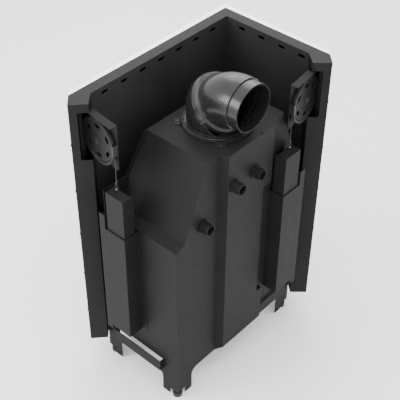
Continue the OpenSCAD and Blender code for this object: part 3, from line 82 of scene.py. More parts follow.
class Nodes:
    """A material's node tree, with short calls for the nodes that the finishes share."""

    def __init__(self, name):
        self.material = bpy.data.materials.new(name)
        self.material.use_nodes = True
        self.tree = self.material.node_tree
        self.tree.nodes.clear()
        self.out = self.new("ShaderNodeOutputMaterial")
        self.place = self.new("ShaderNodeTexCoord").outputs["Object"]

    def new(self, kind, **settings):
        node = self.tree.nodes.new(kind)
        for key, value in settings.items():
            setattr(node, key, value)
        return node

    def link(self, a, b):
        self.tree.links.new(a, b)

    def stretched(self, scale):
        """Object coordinates, stretched so that a pattern runs along one axis."""
        node = self.new("ShaderNodeMapping")
        node.inputs["Scale"].default_value = scale
        self.link(self.place, node.inputs["Vector"])
        return node.outputs["Vector"]

    def noise(self, scale, detail=4.0, rough=0.55, vector=None):
        node = self.new("ShaderNodeTexNoise")
        node.inputs["Scale"].default_value = scale
        node.inputs["Detail"].default_value = detail
        node.inputs["Roughness"].default_value = rough
        self.link(vector or self.place, node.inputs["Vector"])
        return node.outputs["Fac"]

    def ramp(self, value, low, high, to_low=0.0, to_high=1.0):
        node = self.new("ShaderNodeMapRange", clamp=True)
        for key, number in (("From Min", low), ("From Max", high),
                            ("To Min", to_low), ("To Max", to_high)):
            node.inputs[key].default_value = number
        self.link(value, node.inputs["Value"])
        return node.outputs["Result"]

    def maths(self, kind, a, b):
        node = self.new("ShaderNodeMath", operation=kind)
        for socket, value in zip(node.inputs, (a, b)):
            if isinstance(value, (int, float)):
                socket.default_value = value
            else:
                self.link(value, socket)
        return node.outputs[0]

    def mix(self, factor, a, b):
        """A colour between a and b, each a socket or an RGB triple."""
        node = self.new("ShaderNodeMix", data_type="RGBA")
        self.link(factor, node.inputs[0])
        for socket, value in ((node.inputs[6], a), (node.inputs[7], b)):
            if isinstance(value, tuple):
                socket.default_value = (*value, 1.0)
            else:
                self.link(value, socket)
        return node.outputs[2]

    def rounded(self, radius):
        node = self.new("ShaderNodeBevel", samples=4)
        node.inputs["Radius"].default_value = radius
        return node.outputs["Normal"]

    def edges(self, normal):
        """How far the rounded normal leans from the flat one: 1 along an edge, 0 elsewhere."""
        geometry = self.new("ShaderNodeNewGeometry")
        dot = self.new("ShaderNodeVectorMath", operation="DOT_PRODUCT")
        self.link(normal, dot.inputs[0])
        self.link(geometry.outputs["Normal"], dot.inputs[1])
        lean = self.maths("SUBTRACT", 1.0, dot.outputs["Value"])
        return self.ramp(lean, EDGE_SHARP, EDGE_FULL)

    def bump(self, height, depth, normal=None):
        node = self.new("ShaderNodeBump")
        node.inputs["Strength"].default_value = 1.0
        node.inputs["Distance"].default_value = depth
        self.link(height, node.inputs["Height"])
        if normal:
            self.link(normal, node.inputs["Normal"])
        return node.outputs["Normal"]

    def shader(self, colour, rough, normal, **constants):
        node = self.new("ShaderNodeBsdfPrincipled")
        for key, value in constants.items():
            node.inputs[key.replace("_", " ")].default_value = value
        self.link(colour, node.inputs["Base Color"])
        self.link(rough, node.inputs["Roughness"])
        self.link(normal, node.inputs["Normal"])
        self.link(node.outputs["BSDF"], self.out.inputs["Surface"])
        return self.material


def shade(colour, factor):
    """A colour made brighter or darker, up to full."""
    return tuple(min(1.0, channel * factor) for channel in colour)


def painted(name, colour, rough, mottle=0.16, peel=0.00012, edge_wear_and_highlight=None, gloss=0.0, bevel=BEVEL,
            shine=0.09):
    """Powder-coated steel: cloudy tone, fine orange peel and paler edges, part wear and part painted
    highlight.
    """
    n = Nodes(name)
    round_normal = n.rounded(bevel)
    cloud = n.noise(PAINT_CLOUD, 6.0)
    smudge = n.noise(PAINT_SMUDGE, 5.0, 0.7)
    tone = n.mix(n.ramp(cloud, 0.3, 0.7), shade(colour, 1 - mottle), shade(colour, 1 + mottle))
    specks = n.ramp(n.noise(PAINT_SPECKS, 3.0), 0.66, 0.78)
    tone = n.mix(specks, tone, shade(colour, 1.5))
    edge = n.maths("MULTIPLY", n.edges(round_normal), n.ramp(smudge, 0.25, 0.6, 0.35, 0.85))
    # Paler edges along the bevels: part wear, part a painted highlight where light catches them.
    tone = n.mix(edge, tone, edge_wear_and_highlight or shade(colour, 3.2))
    patchy = n.maths("ADD", n.maths("MULTIPLY", cloud, 0.5), n.maths("MULTIPLY", smudge, 0.5))
    roughness = n.ramp(patchy, 0.3, 0.7, rough - 0.07, rough + 0.07)
    normal = n.bump(n.noise(PAINT_PEEL, 2.0), peel, round_normal)
    return n.shader(tone, roughness, normal, Coat_Weight=gloss, Coat_Roughness=0.12,
                    Specular_IOR_Level=shine)


def metal(name, colour, rough, stretch=(1.0, 1.0, 1.0), grain=260.0, depth=0.00004,
          mottle=0.12, bevel=BEVEL):
    """Bare or plated steel with rolled streaks, faint stains and brighter edges, part wear and part
    painted highlight.
    """
    n = Nodes(name)
    round_normal = n.rounded(bevel)
    streaks = n.noise(grain, 3.0, 0.6, n.stretched(stretch))
    stains = n.noise(METAL_STAINS, 6.0, 0.65)
    tone = n.mix(n.ramp(stains, 0.3, 0.7), shade(colour, 1 - mottle), colour)
    # Brighter edges along the bevels: part wear, part a painted highlight.
    tone = n.mix(n.maths("MULTIPLY", n.edges(round_normal), 0.6), tone, shade(colour, 1.25))
    both = n.maths("ADD", n.maths("MULTIPLY", streaks, 0.6), n.maths("MULTIPLY", stains, 0.4))
    roughness = n.ramp(both, 0.3, 0.7, rough - 0.08, rough + 0.1)
    normal = n.bump(streaks, depth, round_normal)
    return n.shader(tone, roughness, normal, Metallic=1.0)


def cast(name, colour, rough=0.72):
    """A coarse, sandy skin with pale ash, for cast iron and the pads under the feet."""
    n = Nodes(name)
    round_normal = n.rounded(BEVEL)
    skin = n.noise(IRON_SKIN, 5.0, 0.7)
    ash = n.ramp(n.noise(IRON_ASH, 5.0, 0.7), 0.45, 0.75, 0.0, 0.5)
    tone = n.mix(n.ramp(skin, 0.35, 0.65), shade(colour, 0.7), shade(colour, 1.3))
    tone = n.mix(ash, tone, shade(colour, 2.2))
    roughness = n.ramp(skin, 0.3, 0.7, rough - 0.1, rough + 0.12)
    return n.shader(tone, roughness, n.bump(skin, 0.0005, round_normal), Metallic=0.25)


def fired(name, colour):
    """Pressed vermiculite or fireclay: pale, grainy and flecked, with a little soot."""
    n = Nodes(name)
    round_normal = n.rounded(CLAY_BEVEL)
    grains = n.noise(CLAY_GRAINS, 6.0, 0.75)
    flecks = n.ramp(n.noise(CLAY_FLECKS, 2.0), 0.62, 0.7)
    soot = n.ramp(n.noise(CLAY_SOOT, 6.0, 0.6), 0.42, 0.8, 0.0, 0.55)
    tone = n.mix(n.ramp(grains, 0.3, 0.7), shade(colour, 0.8), shade(colour, 1.12))
    tone = n.mix(flecks, tone, FLECK)
    tone = n.mix(soot, tone, shade(colour, 0.35))
    roughness = n.ramp(grains, 0.3, 0.7, 0.8, 0.97)
    return n.shader(tone, roughness, n.bump(grains, 0.0009, round_normal))


def woven(name, colour):
    """Glass-fibre rope: matt, with fine fibres and paler places of wear."""
    n = Nodes(name)
    fibres = n.noise(ROPE_FIBRES, 3.0, 0.7)
    wear = n.noise(ROPE_WEAR, 4.0, 0.6)
    tone = n.mix(n.ramp(fibres, 0.3, 0.7), shade(colour, 0.6), shade(colour, 1.7))
    tone = n.mix(n.ramp(wear, 0.5, 0.8, 0.0, 0.5), tone, shade(colour, 2.5))
    roughness = n.ramp(fibres, 0.3, 0.7, 0.8, 0.95)
    return n.shader(tone, roughness, n.bump(fibres, 0.0003), Sheen_Weight=0.35)


def ceramic_glass(name):
    """Clear heat-proof glass with a faint smoke film."""
    n = Nodes(name)
    film = n.noise(GLASS_FILM, 5.0, 0.6)
    tone = n.mix(n.ramp(film, 0.35, 0.75), CLEAR, SMOKED)
    roughness = n.ramp(film, 0.4, 0.8, 0.02, 0.07)
    normal = n.bump(n.noise(GLASS_WAVES, 1.0), 0.0004)
    return n.shader(tone, roughness, normal, Transmission_Weight=1.0, IOR=1.52)


STEEL = (0.0105, 0.0103, 0.0101)
# INNER is the casing's own paint made brighter than STEEL, so that the inner panels in shade come out
# brighter: painted light.
INNER = (0.0200, 0.0200, 0.0202)
BLACK = (0.0070, 0.0070, 0.0072)
FLUE = (0.0100, 0.0100, 0.0104)

# The edge tones given below are the paler colours of each look's edges, part wear and part painted
# highlight.
LOOKS = {
    "casing": painted("casing_paint_look", STEEL, 0.5),
    # The inner panels and guide rails take this lit copy of the casing paint: painted light.
    "inner": painted("casing_inner_look", INNER, 0.50),
    # The top cap is the casing paint made 1.6 times brighter because it faces up to the light: painted
    # light.
    "cap": painted("casing_cap_look", shade(STEEL, 1.6), 0.48),
    "trim": metal("trim_steel_look", (0.80, 0.83, 0.87), 0.36, (1, 1, 30), 90.0),
    "body": painted("body_paint_look", STEEL, 0.55),
    "flue": painted("flue_paint_look", FLUE, 0.28, mottle=0.06, peel=0.00003,
                    edge_wear_and_highlight=shade(FLUE, 1.3), gloss=0.12, shine=0.35),
    "flange": painted("flange_paint_look", FLUE, 0.55, edge_wear_and_highlight=shade(FLUE, 1.6), shine=0.25),
    "door": painted("door_paint_look", BLACK, 0.45, edge_wear_and_highlight=(0.05, 0.05, 0.05)),
    "bare": metal("bare_steel_look", (0.34, 0.34, 0.34), 0.38, (1, 30, 1)),
    "dull": metal("dull_steel_look", (0.05, 0.05, 0.05), 0.45, (30, 1, 1)),
    "cable": metal("cable_steel_look", (0.07, 0.07, 0.072), 0.45, bevel=CABLE_BEVEL),
    "iron": cast("iron_look", (0.020, 0.020, 0.021)),
    "pulley": painted("pulley_paint_look", shade(STEEL, 1.15), 0.40, bevel=PULLEY_BEVEL),
    "clay": fired("fireclay_look", (0.50, 0.40, 0.27)),
    "glass": ceramic_glass("glass_look"),
    "seal": woven("seal_look", (0.035, 0.035, 0.036)),
    "frit": painted("glass_border_look", (0.006, 0.006, 0.006), 0.3, peel=0.00002,
                    edge_wear_and_highlight=(0.01, 0.01, 0.01)),
    "rubber": cast("pad_look", (0.008, 0.008, 0.008), 0.85),
}

SLOT_LOOKS = {
    "casing_paint": "casing", "trim_steel": "trim", "body_paint": "body", "flue_paint": "flue",
    "door_paint": "door", "bare_steel": "bare", "cable_steel": "cable", "iron": "iron",
    "pulley_paint": "pulley", "fireclay": "clay", "glass": "glass", "seal": "seal",
}

NODE_LOOKS = {
    "casing_inner_panel": "inner", "casing_top_cap": "cap", "casing_screws": "dull",
    "cable_keepers": "dull", "pulley_axle_front": "dull", "pulley_axle_side": "dull",
    "flue_latches": "dull", "guide_rails": "inner", "flue_flange": "flange",
}


def dress_nodes():
    """Gives every CAD node the look of its slot, or its own."""
    for name, node in frame["nodes"].items():
        slot = node.data.materials[0].name.split(".")[0]
        look = LOOKS[NODE_LOOKS.get(name, SLOT_LOOKS[slot])]
        node.data.materials.clear()
        node.data.materials.append(look)


# Mesh code

JUST_OFF = 0.0002
TINY = 1e-6


def aim(point, direction, spin=0.0):
    """A place whose Z axis runs along direction, turned about it by spin degrees."""
    turn = Vector(direction).to_track_quat("Z", "Y").to_matrix().to_4x4()
    return Matrix.Translation(point) @ turn @ Matrix.Rotation(math.radians(spin), 4, "Z")


def ring(centre, radius, start, stop, steps):
    """Points of an arc in the XY plane, angles in degrees."""
    turn = [math.radians(start + (stop - start) * i / steps) for i in range(steps + 1)]
    return [(centre[0] + radius * math.cos(a), centre[1] + radius * math.sin(a)) for a in turn]


def rounded_outline(x0, y0, x1, y1, radius, steps=5):
    """A rectangle with rounded corners."""
    corners = (((x1 - radius, y0 + radius), -90), ((x1 - radius, y1 - radius), 0),
               ((x0 + radius, y1 - radius), 90), ((x0 + radius, y0 + radius), 180))
    return [point for centre, turn in corners
            for point in ring(centre, radius, turn, turn + 90, steps)]


class Kit:
    """Gathers small solids into one mesh that rides on one body."""

    def __init__(self):
        self.mesh = bmesh.new()

    def take(self, verts, faces, place=Matrix()):
        """Adds a solid's corners and faces, put in place."""
        made = [self.mesh.verts.new(place @ Vector(v)) for v in verts]
        for face in faces:
            self.mesh.faces.new([made[i] for i in face])

    def lathe(self, profile, place=Matrix(), sides=24):
        """Turns a profile of (radius, height) about the place's Z axis."""
        verts, rows = [], []
        for radius, height in profile:
            if radius < TINY:
                rows.append([len(verts)] * sides)
                verts.append((0, 0, height))
                continue
            rows.append(list(range(len(verts), len(verts) + sides)))
            for i in range(sides):
                a = 2 * math.pi * i / sides
                verts.append((radius * math.cos(a), radius * math.sin(a), height))
        faces = []
        for low, high in zip(rows, rows[1:]):
            for i in range(sides):
                j = (i + 1) % sides
                face = [low[i], low[j], high[j], high[i]]
                face = [v for k, v in enumerate(face) if v != face[k - 1]]
                if len(face) > 2:
                    faces.append(face)
        self.take(verts, faces, place)

    def slab(self, outline, thickness, place=Matrix(), holes=()):
        """A plate with holes, from outlines in the place's XY plane up to thickness."""
        part = bmesh.new()
        edges = []
        for loop in (outline, *holes):
            made = [part.verts.new((x, y, 0)) for x, y in loop]
            edges += [part.edges.new((a, b)) for a, b in zip(made, made[1:] + made[:1])]
        filled = bmesh.ops.triangle_fill(part, edges=edges, use_beauty=True)
        faces = [f for f in filled["geom"] if isinstance(f, bmesh.types.BMFace)]
        raised = bmesh.ops.extrude_face_region(part, geom=faces)
        tops = [v for v in raised["geom"] if isinstance(v, bmesh.types.BMVert)]
        bmesh.ops.translate(part, verts=tops, vec=(0, 0, thickness))
        bmesh.ops.recalc_face_normals(part, faces=part.faces)
        part.transform(place)
        self.join(part)

    def join(self, part):
        mesh = bpy.data.meshes.new("part")
        part.to_mesh(mesh)
        part.free()
        self.mesh.from_mesh(mesh)
        bpy.data.meshes.remove(mesh)

    def block(self, low, high, place=Matrix(), bevel=0.0):
        """A box from its lowest to its highest corner, with bevelled edges."""
        part = bmesh.new()
        bmesh.ops.create_cube(part, size=1.0)
        size = Vector(high) - Vector(low)
        part.transform(Matrix.Translation((Vector(high) + Vector(low)) / 2)
                       @ Matrix.Diagonal((*size, 1.0)))
        if bevel:
            bmesh.ops.bevel(part, geom=part.edges, offset=bevel, segments=2, profile=0.5,
                            affect="EDGES")
        part.transform(place)
        self.join(part)

    def tube(self, points, radius, sides=12, lobes=0, depth=0.0, pitch=1.0, closed=False):
        """Sweeps a round or lobed section along points, the lobes turning once every pitch."""
        points = [Vector(p) for p in points]
        count = len(points)
        tangents = []
        for i in range(count):
            a = points[i - 1] if i or closed else points[0]
            b = points[(i + 1) % count] if i < count - 1 or closed else points[-1]
            tangents.append((b - a).normalized())
        normal = tangents[0].orthogonal().normalized()
        verts, along = [], 0.0
        for i, (point, tangent) in enumerate(zip(points, tangents)):
            if i:
                along += (point - points[i - 1]).length
            normal = (normal - tangent * normal.dot(tangent)).normalized()
            other = tangent.cross(normal)
            turn = 2 * math.pi * along / pitch if lobes else 0.0
            for k in range(sides):
                a = 2 * math.pi * k / sides
                r = radius * (1 - depth * (0.5 - 0.5 * math.cos(lobes * a)))
                verts.append(point + normal * r * math.cos(a + turn) + other * r * math.sin(a + turn))
        last = count if closed else count - 1
        faces = []
        for i in range(last):
            j = (i + 1) % count
            for k in range(sides):
                m = (k + 1) % sides
                faces.append((i * sides + k, i * sides + m, j * sides + m, j * sides + k))
        if not closed:
            faces.append(tuple(reversed(range(sides))))
            faces.append(tuple(range((count - 1) * sides, count * sides)))
        self.take(verts, faces)

    def done(self, name, look, slot, body=None, smooth=30.0):
        """Makes the piece, gives it its look, and lets it ride on its body; its slot is not used."""
        bmesh.ops.recalc_face_normals(self.mesh, faces=self.mesh.faces)
        mesh = bpy.data.meshes.new(name)
        self.mesh.to_mesh(mesh)
        self.mesh.free()
        mesh.materials.append(LOOKS[look])
        piece = bpy.data.objects.new(name, mesh)
        bpy.context.scene.collection.objects.link(piece)
        mesh.shade_smooth()
        mesh.set_sharp_from_angle(angle=math.radians(smooth))
        if body:
            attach(piece, body)
        return piece


def button_head(radius, height, socket=0.45):
    """Profile of a low domed screw head with a round socket."""
    dome = [(radius * math.cos(a), height * (0.25 + 0.75 * math.sin(a)))
            for a in (0.0, 0.35, 0.7, 1.0)]
    return [(radius, 0.0)] + dome + [(radius * socket, height), (radius * socket, height * 0.35),
                                     (0, height * 0.3)]


def hex_head(radius, height):
    """Profile of a hexagon head, chamfered at its top, for a lathe of six sides."""
    return [(0, 0), (radius, 0), (radius, height * 0.8), (radius * 0.86, height), (0, height)]


def washer(radius, bore, height):
    """Profile of a washer, chamfered at its top."""
    return [(bore, 0), (radius, 0), (radius, height * 0.7), (radius * 0.96, height), (bore, height)]


def centre(node):
    """The middle of a CAD node's box."""
    low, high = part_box(node)
    return (Vector(low) + Vector(high)) / 2


def span(node):
    """The lowest and highest corner of a CAD node's box."""
    low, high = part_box(node)
    return Vector(low), Vector(high)


# Cables: laid strands on the CAD's own paths, with the fittings at their ends

CABLE_R = 0.002
LAY = 0.021
STRANDS = 6
STRAND_STEP = 0.0022
FERRULE_R = 0.0042
FERRULE_L = 0.017
FERRULE_SHARES = ((0.8, 0), (1, 0.12), (1, 0.42), (0.86, 0.5), (1, 0.58), (1, 0.88), (0.8, 1))
FERRULE_LIFT = {"weight": 0.016, "door": 0.003}
THIMBLE_R = 0.0085
THIMBLE_LIFT = 0.007
THIMBLE_STRETCH = 1.15
THIMBLE_STEPS = 40
TAIL_OUT = 0.0035
TAIL_SPREAD = 0.0012
STRAND_DEPTH = 0.30
SIDES = ("front", "side")


def stranded(points):
    kit = Kit()
    kit.tube(points, CABLE_R, sides=30, lobes=STRANDS, depth=STRAND_DEPTH, pitch=LAY)
    return kit


def straight(low, high, step=STRAND_STEP):
    count = max(2, round((high - low).length / step))
    return [low.lerp(high, i / count) for i in range(count + 1)]


def run_line(node):
    """The lower and upper end of an upright cable run's middle line."""
    low, high = span(node)
    middle = (low + high) / 2
    return Vector((middle.x, middle.y, low.z)), Vector((middle.x, middle.y, high.z))


def cables():
    for side in SIDES:
        door_low, door_high = run_line("cable_door_run_" + side)
        weight_low, weight_high = run_line("cable_weight_run_" + side)
        middle = (door_high + weight_high) / 2
        arm = weight_high - middle
        radius = arm.length
        steps = round(math.pi * radius / STRAND_STEP)
        arc = [middle - arm * math.cos(math.pi * i / steps) + UP * radius * math.sin(math.pi * i / steps)
               for i in range(steps + 1)]
        wrap = stranded(arc).done("cable_wrap_rope_" + side, "cable", "cable_steel", ROOT)
        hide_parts("cable_wrap_" + side)
        for kind, low, high, body in (("door", door_low, door_high, DOOR),
                                      ("weight", weight_low, weight_high, "weight_" + side)):
            run = stranded(straight(low, high)).done(
                f"cable_{kind}_rope_{side}", "cable", "cable_steel")
            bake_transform(run)
            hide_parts(f"cable_{kind}_run_{side}")
            cable_fitting(f"cable_{kind}_fitting_{side}", low, arm.normalized(), body, kind)


def cable_fitting(name, foot, across, body, kind):
    """A pressed ferrule and, at a weight, a loop of cable through its eye."""
    kit = Kit()
    base = foot + UP * FERRULE_LIFT[kind]
    body_line = [(FERRULE_R * r, FERRULE_L * h) for r, h in FERRULE_SHARES]
    kit.lathe([(CABLE_R, 0)] + body_line + [(CABLE_R, FERRULE_L)], Matrix.Translation(base), 20)
    if kind == "weight":
        middle = foot + UP * THIMBLE_LIFT
        turns = [2 * math.pi * i / THIMBLE_STEPS for i in range(THIMBLE_STEPS)]
        loop = [middle + across * THIMBLE_R * math.sin(a) - UP * THIMBLE_R * THIMBLE_STRETCH * math.cos(a)
                for a in turns]
        kit.tube(loop, CABLE_R, sides=18, lobes=STRANDS, depth=STRAND_DEPTH, pitch=LAY / 2, closed=True)
        tail = [base + UP * FERRULE_L * (0.9 + 0.25 * i) + across * (TAIL_OUT + TAIL_SPREAD * i)
                for i in range(4)]
        kit.tube(tail, CABLE_R * 0.9, sides=18, lobes=STRANDS, depth=STRAND_DEPTH, pitch=LAY)
    kit.done(name, "cable", "cable_steel", body)


# Wheels: hub bolts that turn with the wheel, and the fixed washer on its axle

HUB_BOLTS = 3
HUB_BOLT_RING = 0.0165
HUB_BOLT_R = 0.0032
HUB_BOLT_H = 0.0022
HUB_FACE = 0.0066
AXLE_WASHER_R = 0.0125
AXLE_R = 0.008
AXLE_WASHER_T = 0.0014


def wheels():
    """Three bolts round each wheel's hub, and a washer on its axle."""
    for joint in frame["joints"]:
        if not joint["name"].startswith("wheel_"):
            continue
        side = joint["name"].split("_")[1]
        axis = Vector(joint["axis"]).normalized()
        hub = centre("pulley_" + side)
        bolts = Kit()
        for i in range(HUB_BOLTS):
            a = math.radians(360 / HUB_BOLTS * i + 60)
            around = axis.cross(UP) * math.cos(a) + UP * math.sin(a)
            place = aim(hub + around * HUB_BOLT_RING + axis * HUB_FACE * 0.75, axis, 30 * i)
            bolts.lathe(hex_head(HUB_BOLT_R, HUB_BOLT_H), place, 6)
        bolts.done("wheel_bolts_" + side, "dull", "bare_steel", "wheel_" + side)
        ring_kit = Kit()
        ring_kit.lathe(washer(AXLE_WASHER_R, AXLE_R, AXLE_WASHER_T),
                       aim(hub + axis * (HUB_FACE + JUST_OFF), axis), 32)
        ring_kit.done("axle_washer_" + side, "dull", "bare_steel", ROOT)


# Flue outlet: base bead and weld seam, rim bead, wire bows at the latches and slotted clamps

LOWER_R = 0.127
SPIGOT_R = 0.100
SPIGOT_Z = 0.142
BASE_BEAD = ((0.1290, 0.0), (0.1300, 0.0016), (0.1325, 0.0016), (0.1345, 0.0))
SEAM_TURN = 2.0
SEAM_FOOT = 0.009
SEAM_L = 0.058
SEAM_R = 0.0012
SEAM_STEP = 0.0025
RIM_BEAD = ((-0.0045, -0.0002), (-0.0035, 0.0), (-0.0008, 0.0), (0.0002, -0.0012), (-0.0012, -0.003))
BOW_TURNS = (12, 168)
BOW_OUT = 0.0056
BOW_FOOT = 0.024
BOW_TIP = 0.004
BOW_END = 0.0055
BOW_HALF_FOOT = 0.0045
BOW_HALF_TIP = 0.004
BOW_WIRE_R = 0.0009
BOW_PIN_HALF = 0.0058
BOW_PIN_R = 0.0014
CLAMP_TURNS = (45, 135, 225, 315)
CLAMP_HALF = 0.019
CLAMP_GRIP = 0.0085
CLAMP_HEEL = 0.146
CLAMP_REACH = 0.0235
CLAMP_T = 0.003
CLAMP_CORNER = 0.002
CLAMP_CLEAR = 0.0006
SLOT_IN = 0.0075
SLOT_OUT = 0.0135
SLOT_CORNER = 0.003
GRIP_SLOT_IN = 0.0025
GRIP_SLOT_OUT = 0.0055
GRIP_SLOT_CORNER = 0.0014
CLAMP_BOLT_AT = 0.0105
CLAMP_BOLT_R = 0.0046
CLAMP_BOLT_H = 0.0036
CLAMP_WASHER_R = 0.0062
CLAMP_WASHER_BORE = 0.003
CLAMP_WASHER_T = 0.001


def flue_details():
    middle = centre("flue_flange")
    flange_low, flange_high = span("flue_flange")
    foot = Vector((middle.x, middle.y, flange_low.z))
    base_details(foot, flange_high.z)
    bows()
    clamps(foot, flange_high.z)
    elbow_details(foot)


def base_details(foot, flange_top):
    """The bead where the lower half meets its flange, and the upright weld seam above it."""
    kit = Kit()
    kit.lathe(BASE_BEAD, Matrix.Translation((foot.x, foot.y, flange_top - JUST_OFF)), 96)
    turn = math.radians(SEAM_TURN)
    out = Vector((math.cos(turn), math.sin(turn), 0))
    low = Vector((foot.x, foot.y, flange_top + SEAM_FOOT)) + out * (LOWER_R - JUST_OFF)
    bead = straight(low, low + UP * SEAM_L, SEAM_STEP)
    bead = [p + out * JUST_OFF * math.sin(9 * i) for i, p in enumerate(bead)]
    kit.tube(bead, SEAM_R, 8)
    kit.done("flue_base_seams", "flue", "flue_paint", "flue_base")


def elbow_details(foot):
    """The rolled bead at the spigot's rim."""
    rim = Vector((foot.x, span("flue_upper_half")[1].y, foot.z + SPIGOT_Z))
    kit = Kit()
    kit.lathe([(SPIGOT_R + out, along) for out, along in RIM_BEAD], aim(rim, (0, 1, 0)), 96)
    kit.done("flue_rim_bead", "flue", "flue_paint", "flue_elbow")


def bows():
    """Two wire bows with their pins, beside the latches of the turning joint."""
    latch = centre("flue_latches")
    joint = [j for j in frame["joints"] if j["name"] == "flue_elbow_turn"][0]
    axis = Vector(joint["axis"]).normalized()
    across = Vector((1, 0, 0))
    slope = axis.cross(across).normalized()
    kit = Kit()
    for turn in BOW_TURNS:
        a = math.radians(turn)
        out = across * math.cos(a) + slope * math.sin(a)
        side = axis.cross(out)
        anchor = latch + out * (LOWER_R + BOW_OUT)
        foot, tip = anchor - axis * BOW_FOOT, anchor + axis * BOW_TIP
        for s in (-1, 1):
            kit.tube([foot + side * BOW_HALF_FOOT * s, anchor - axis * BOW_TIP + side * BOW_HALF_FOOT * s,
                      tip + side * BOW_HALF_TIP * s], BOW_WIRE_R, 8)
        kit.tube([tip - side * BOW_HALF_TIP, anchor + axis * BOW_END, tip + side * BOW_HALF_TIP],
                 BOW_WIRE_R, 8)
        kit.tube([foot - side * BOW_PIN_HALF, foot + side * BOW_PIN_HALF], BOW_PIN_R, 10)
    kit.done("flue_clip_bows", "dull", "bare_steel", "flue_base")


def clamps(foot, flange_top):
    """Two-step clamps that hold the flange to the roof, slotted so that they can slide."""
    kit, bolts = Kit(), Kit()
    half, heel, t = CLAMP_HALF, CLAMP_HEEL, CLAMP_T
    grip = heel - CLAMP_GRIP
    top = flange_top - foot.z + CLAMP_CLEAR
    slot = rounded_outline(heel + t + SLOT_IN, -half * 0.45, heel + t + SLOT_OUT, half * 0.45, SLOT_CORNER)
    grip_slot = rounded_outline(grip + GRIP_SLOT_IN, -half * 0.5, grip + GRIP_SLOT_OUT, half * 0.5,
                                GRIP_SLOT_CORNER)
    for turn in CLAMP_TURNS:
        base = Matrix.Translation(foot) @ Matrix.Rotation(math.radians(turn), 4, "Z")
        kit.slab(rounded_outline(heel, -half, heel + CLAMP_REACH, half, CLAMP_CORNER), t, base, [slot])
        kit.block((heel, -half, 0), (heel + t, half, top + t), base, CLAMP_CLEAR)
        kit.slab(rounded_outline(grip, -half, heel + t, half, CLAMP_CORNER), t,
                 base @ Matrix.Translation((0, 0, top)), [grip_slot])
        place = base @ Matrix.Translation((heel + t + CLAMP_BOLT_AT, 0, t))
        bolts.lathe(washer(CLAMP_WASHER_R, CLAMP_WASHER_BORE, CLAMP_WASHER_T), place, 24)
        bolts.lathe(hex_head(CLAMP_BOLT_R, CLAMP_BOLT_H),
                    place @ Matrix.Translation((0, 0, CLAMP_WASHER_T)), 6)
    piece = kit.done("flue_clamp_straps", "flange", "flue_paint", ROOT)
    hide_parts("flue_clamps")
    bolts.done("flue_clamp_bolts", "dull", "bare_steel", ROOT)


# Casing: small screws in the bright strip

STRIP_SCREWS = ((0.000, -0.292), (-0.354, -0.292), (-0.468, -0.199), (-0.468, -0.013))
STRIP_SCREW_R = 0.0032
STRIP_SCREW_H = 0.0012


def casing_details():
    kit = Kit()
    top = span("trim_frame")[1].z
    for x, y in STRIP_SCREWS:
        kit.lathe(button_head(STRIP_SCREW_R, STRIP_SCREW_H),
                  Matrix.Translation((x, y, top - JUST_OFF)), 20)
    kit.done("strip_screws", "dull", "bare_steel", ROOT)


# Door: braided rope, printed glass border and a turned handle

ROPE_R = 0.003
ROPE_LAY = 0.0095
ROPE_STEP = 0.0021
ROPE_YARNS = 5
ROPE_DEPTH = 0.24
CORNER_R = 0.006
CORNER_STEPS = 4
FRIT_W = 0.026
FRIT_T = 0.0002
FRIT_FREE_W = FRIT_W * 0.3
FRIT_INNER_R = 0.004
GLASS_CORNER_R = 0.001
HANDLE_GROOVES = 9
GROOVE_PITCH = 0.008
GROOVE_HALF = 0.001


def filleted(points, radius, step):
    """A closed line through points, its corners rounded, with points every step."""
    count, path = len(points), []
    for i in range(count):
        a, b, c = points[i - 1], points[i], points[(i + 1) % count]
        enter, leave = b + (a - b).normalized() * radius, b + (c - b).normalized() * radius
        for k in range(CORNER_STEPS + 1):
            t = k / CORNER_STEPS
            path.append(enter * (1 - t) ** 2 + b * 2 * t * (1 - t) + leave * t * t)
        after = c + (b - c).normalized() * radius
        steps = max(2, round((after - leave).length / step))
        path += [leave.lerp(after, k / steps) for k in range(1, steps)]
    return path


def door_rope():
    """The rope seal as two crossing lays on its closed line round the door."""
    low, high = span("door_rope_seal")
    low, high = low + Vector((ROPE_R,) * 3), high - Vector((ROPE_R,) * 3)
    corners = [Vector(p) for p in ((high.x, low.y, low.z), (low.x, low.y, low.z),
                                   (low.x, high.y, low.z), (low.x, high.y, high.z),
                                   (low.x, low.y, high.z), (high.x, low.y, high.z))]
    kit = Kit()
    path = filleted(corners, CORNER_R, ROPE_STEP)
    for radius, pitch in ((ROPE_R, ROPE_LAY), (ROPE_R * 0.97, -ROPE_LAY)):
        kit.tube(path, radius, sides=20, lobes=ROPE_YARNS, depth=ROPE_DEPTH, pitch=pitch, closed=True)
    piece = kit.done("door_rope_braid", "seal", "seal", DOOR)
    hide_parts("door_rope_seal")


def glass_borders():
    """A printed dark border on the inside of each pane, narrow beside the free corner."""
    for node, axis in (("glass_front", 1), ("glass_side", 0)):
        low, high = span(node)
        u0, u1 = (low.x, high.x) if axis else (low.y, high.y)
        turn = Matrix.Rotation(math.radians(90), 4, "X")
        back = high.y if axis else high.x
        if axis:
            place = Matrix.Translation((0, back + FRIT_T, 0)) @ turn
        else:
            place = Matrix.Translation((back, 0, 0)) @ Matrix.Rotation(math.radians(90), 4, "Z") @ turn
        outer = rounded_outline(u0, low.z, u1, high.z, GLASS_CORNER_R, 2)
        inner = rounded_outline(u0 + GLASS_CORNER_R + FRIT_FREE_W, low.z + FRIT_W,
                                u1 - FRIT_W, high.z - FRIT_W, FRIT_INNER_R, 4)
        kit = Kit()
        kit.slab(outer, FRIT_T, place, [inner])
        kit.done("glass_border_" + node.split("_")[1], "frit", "door_paint", DOOR)


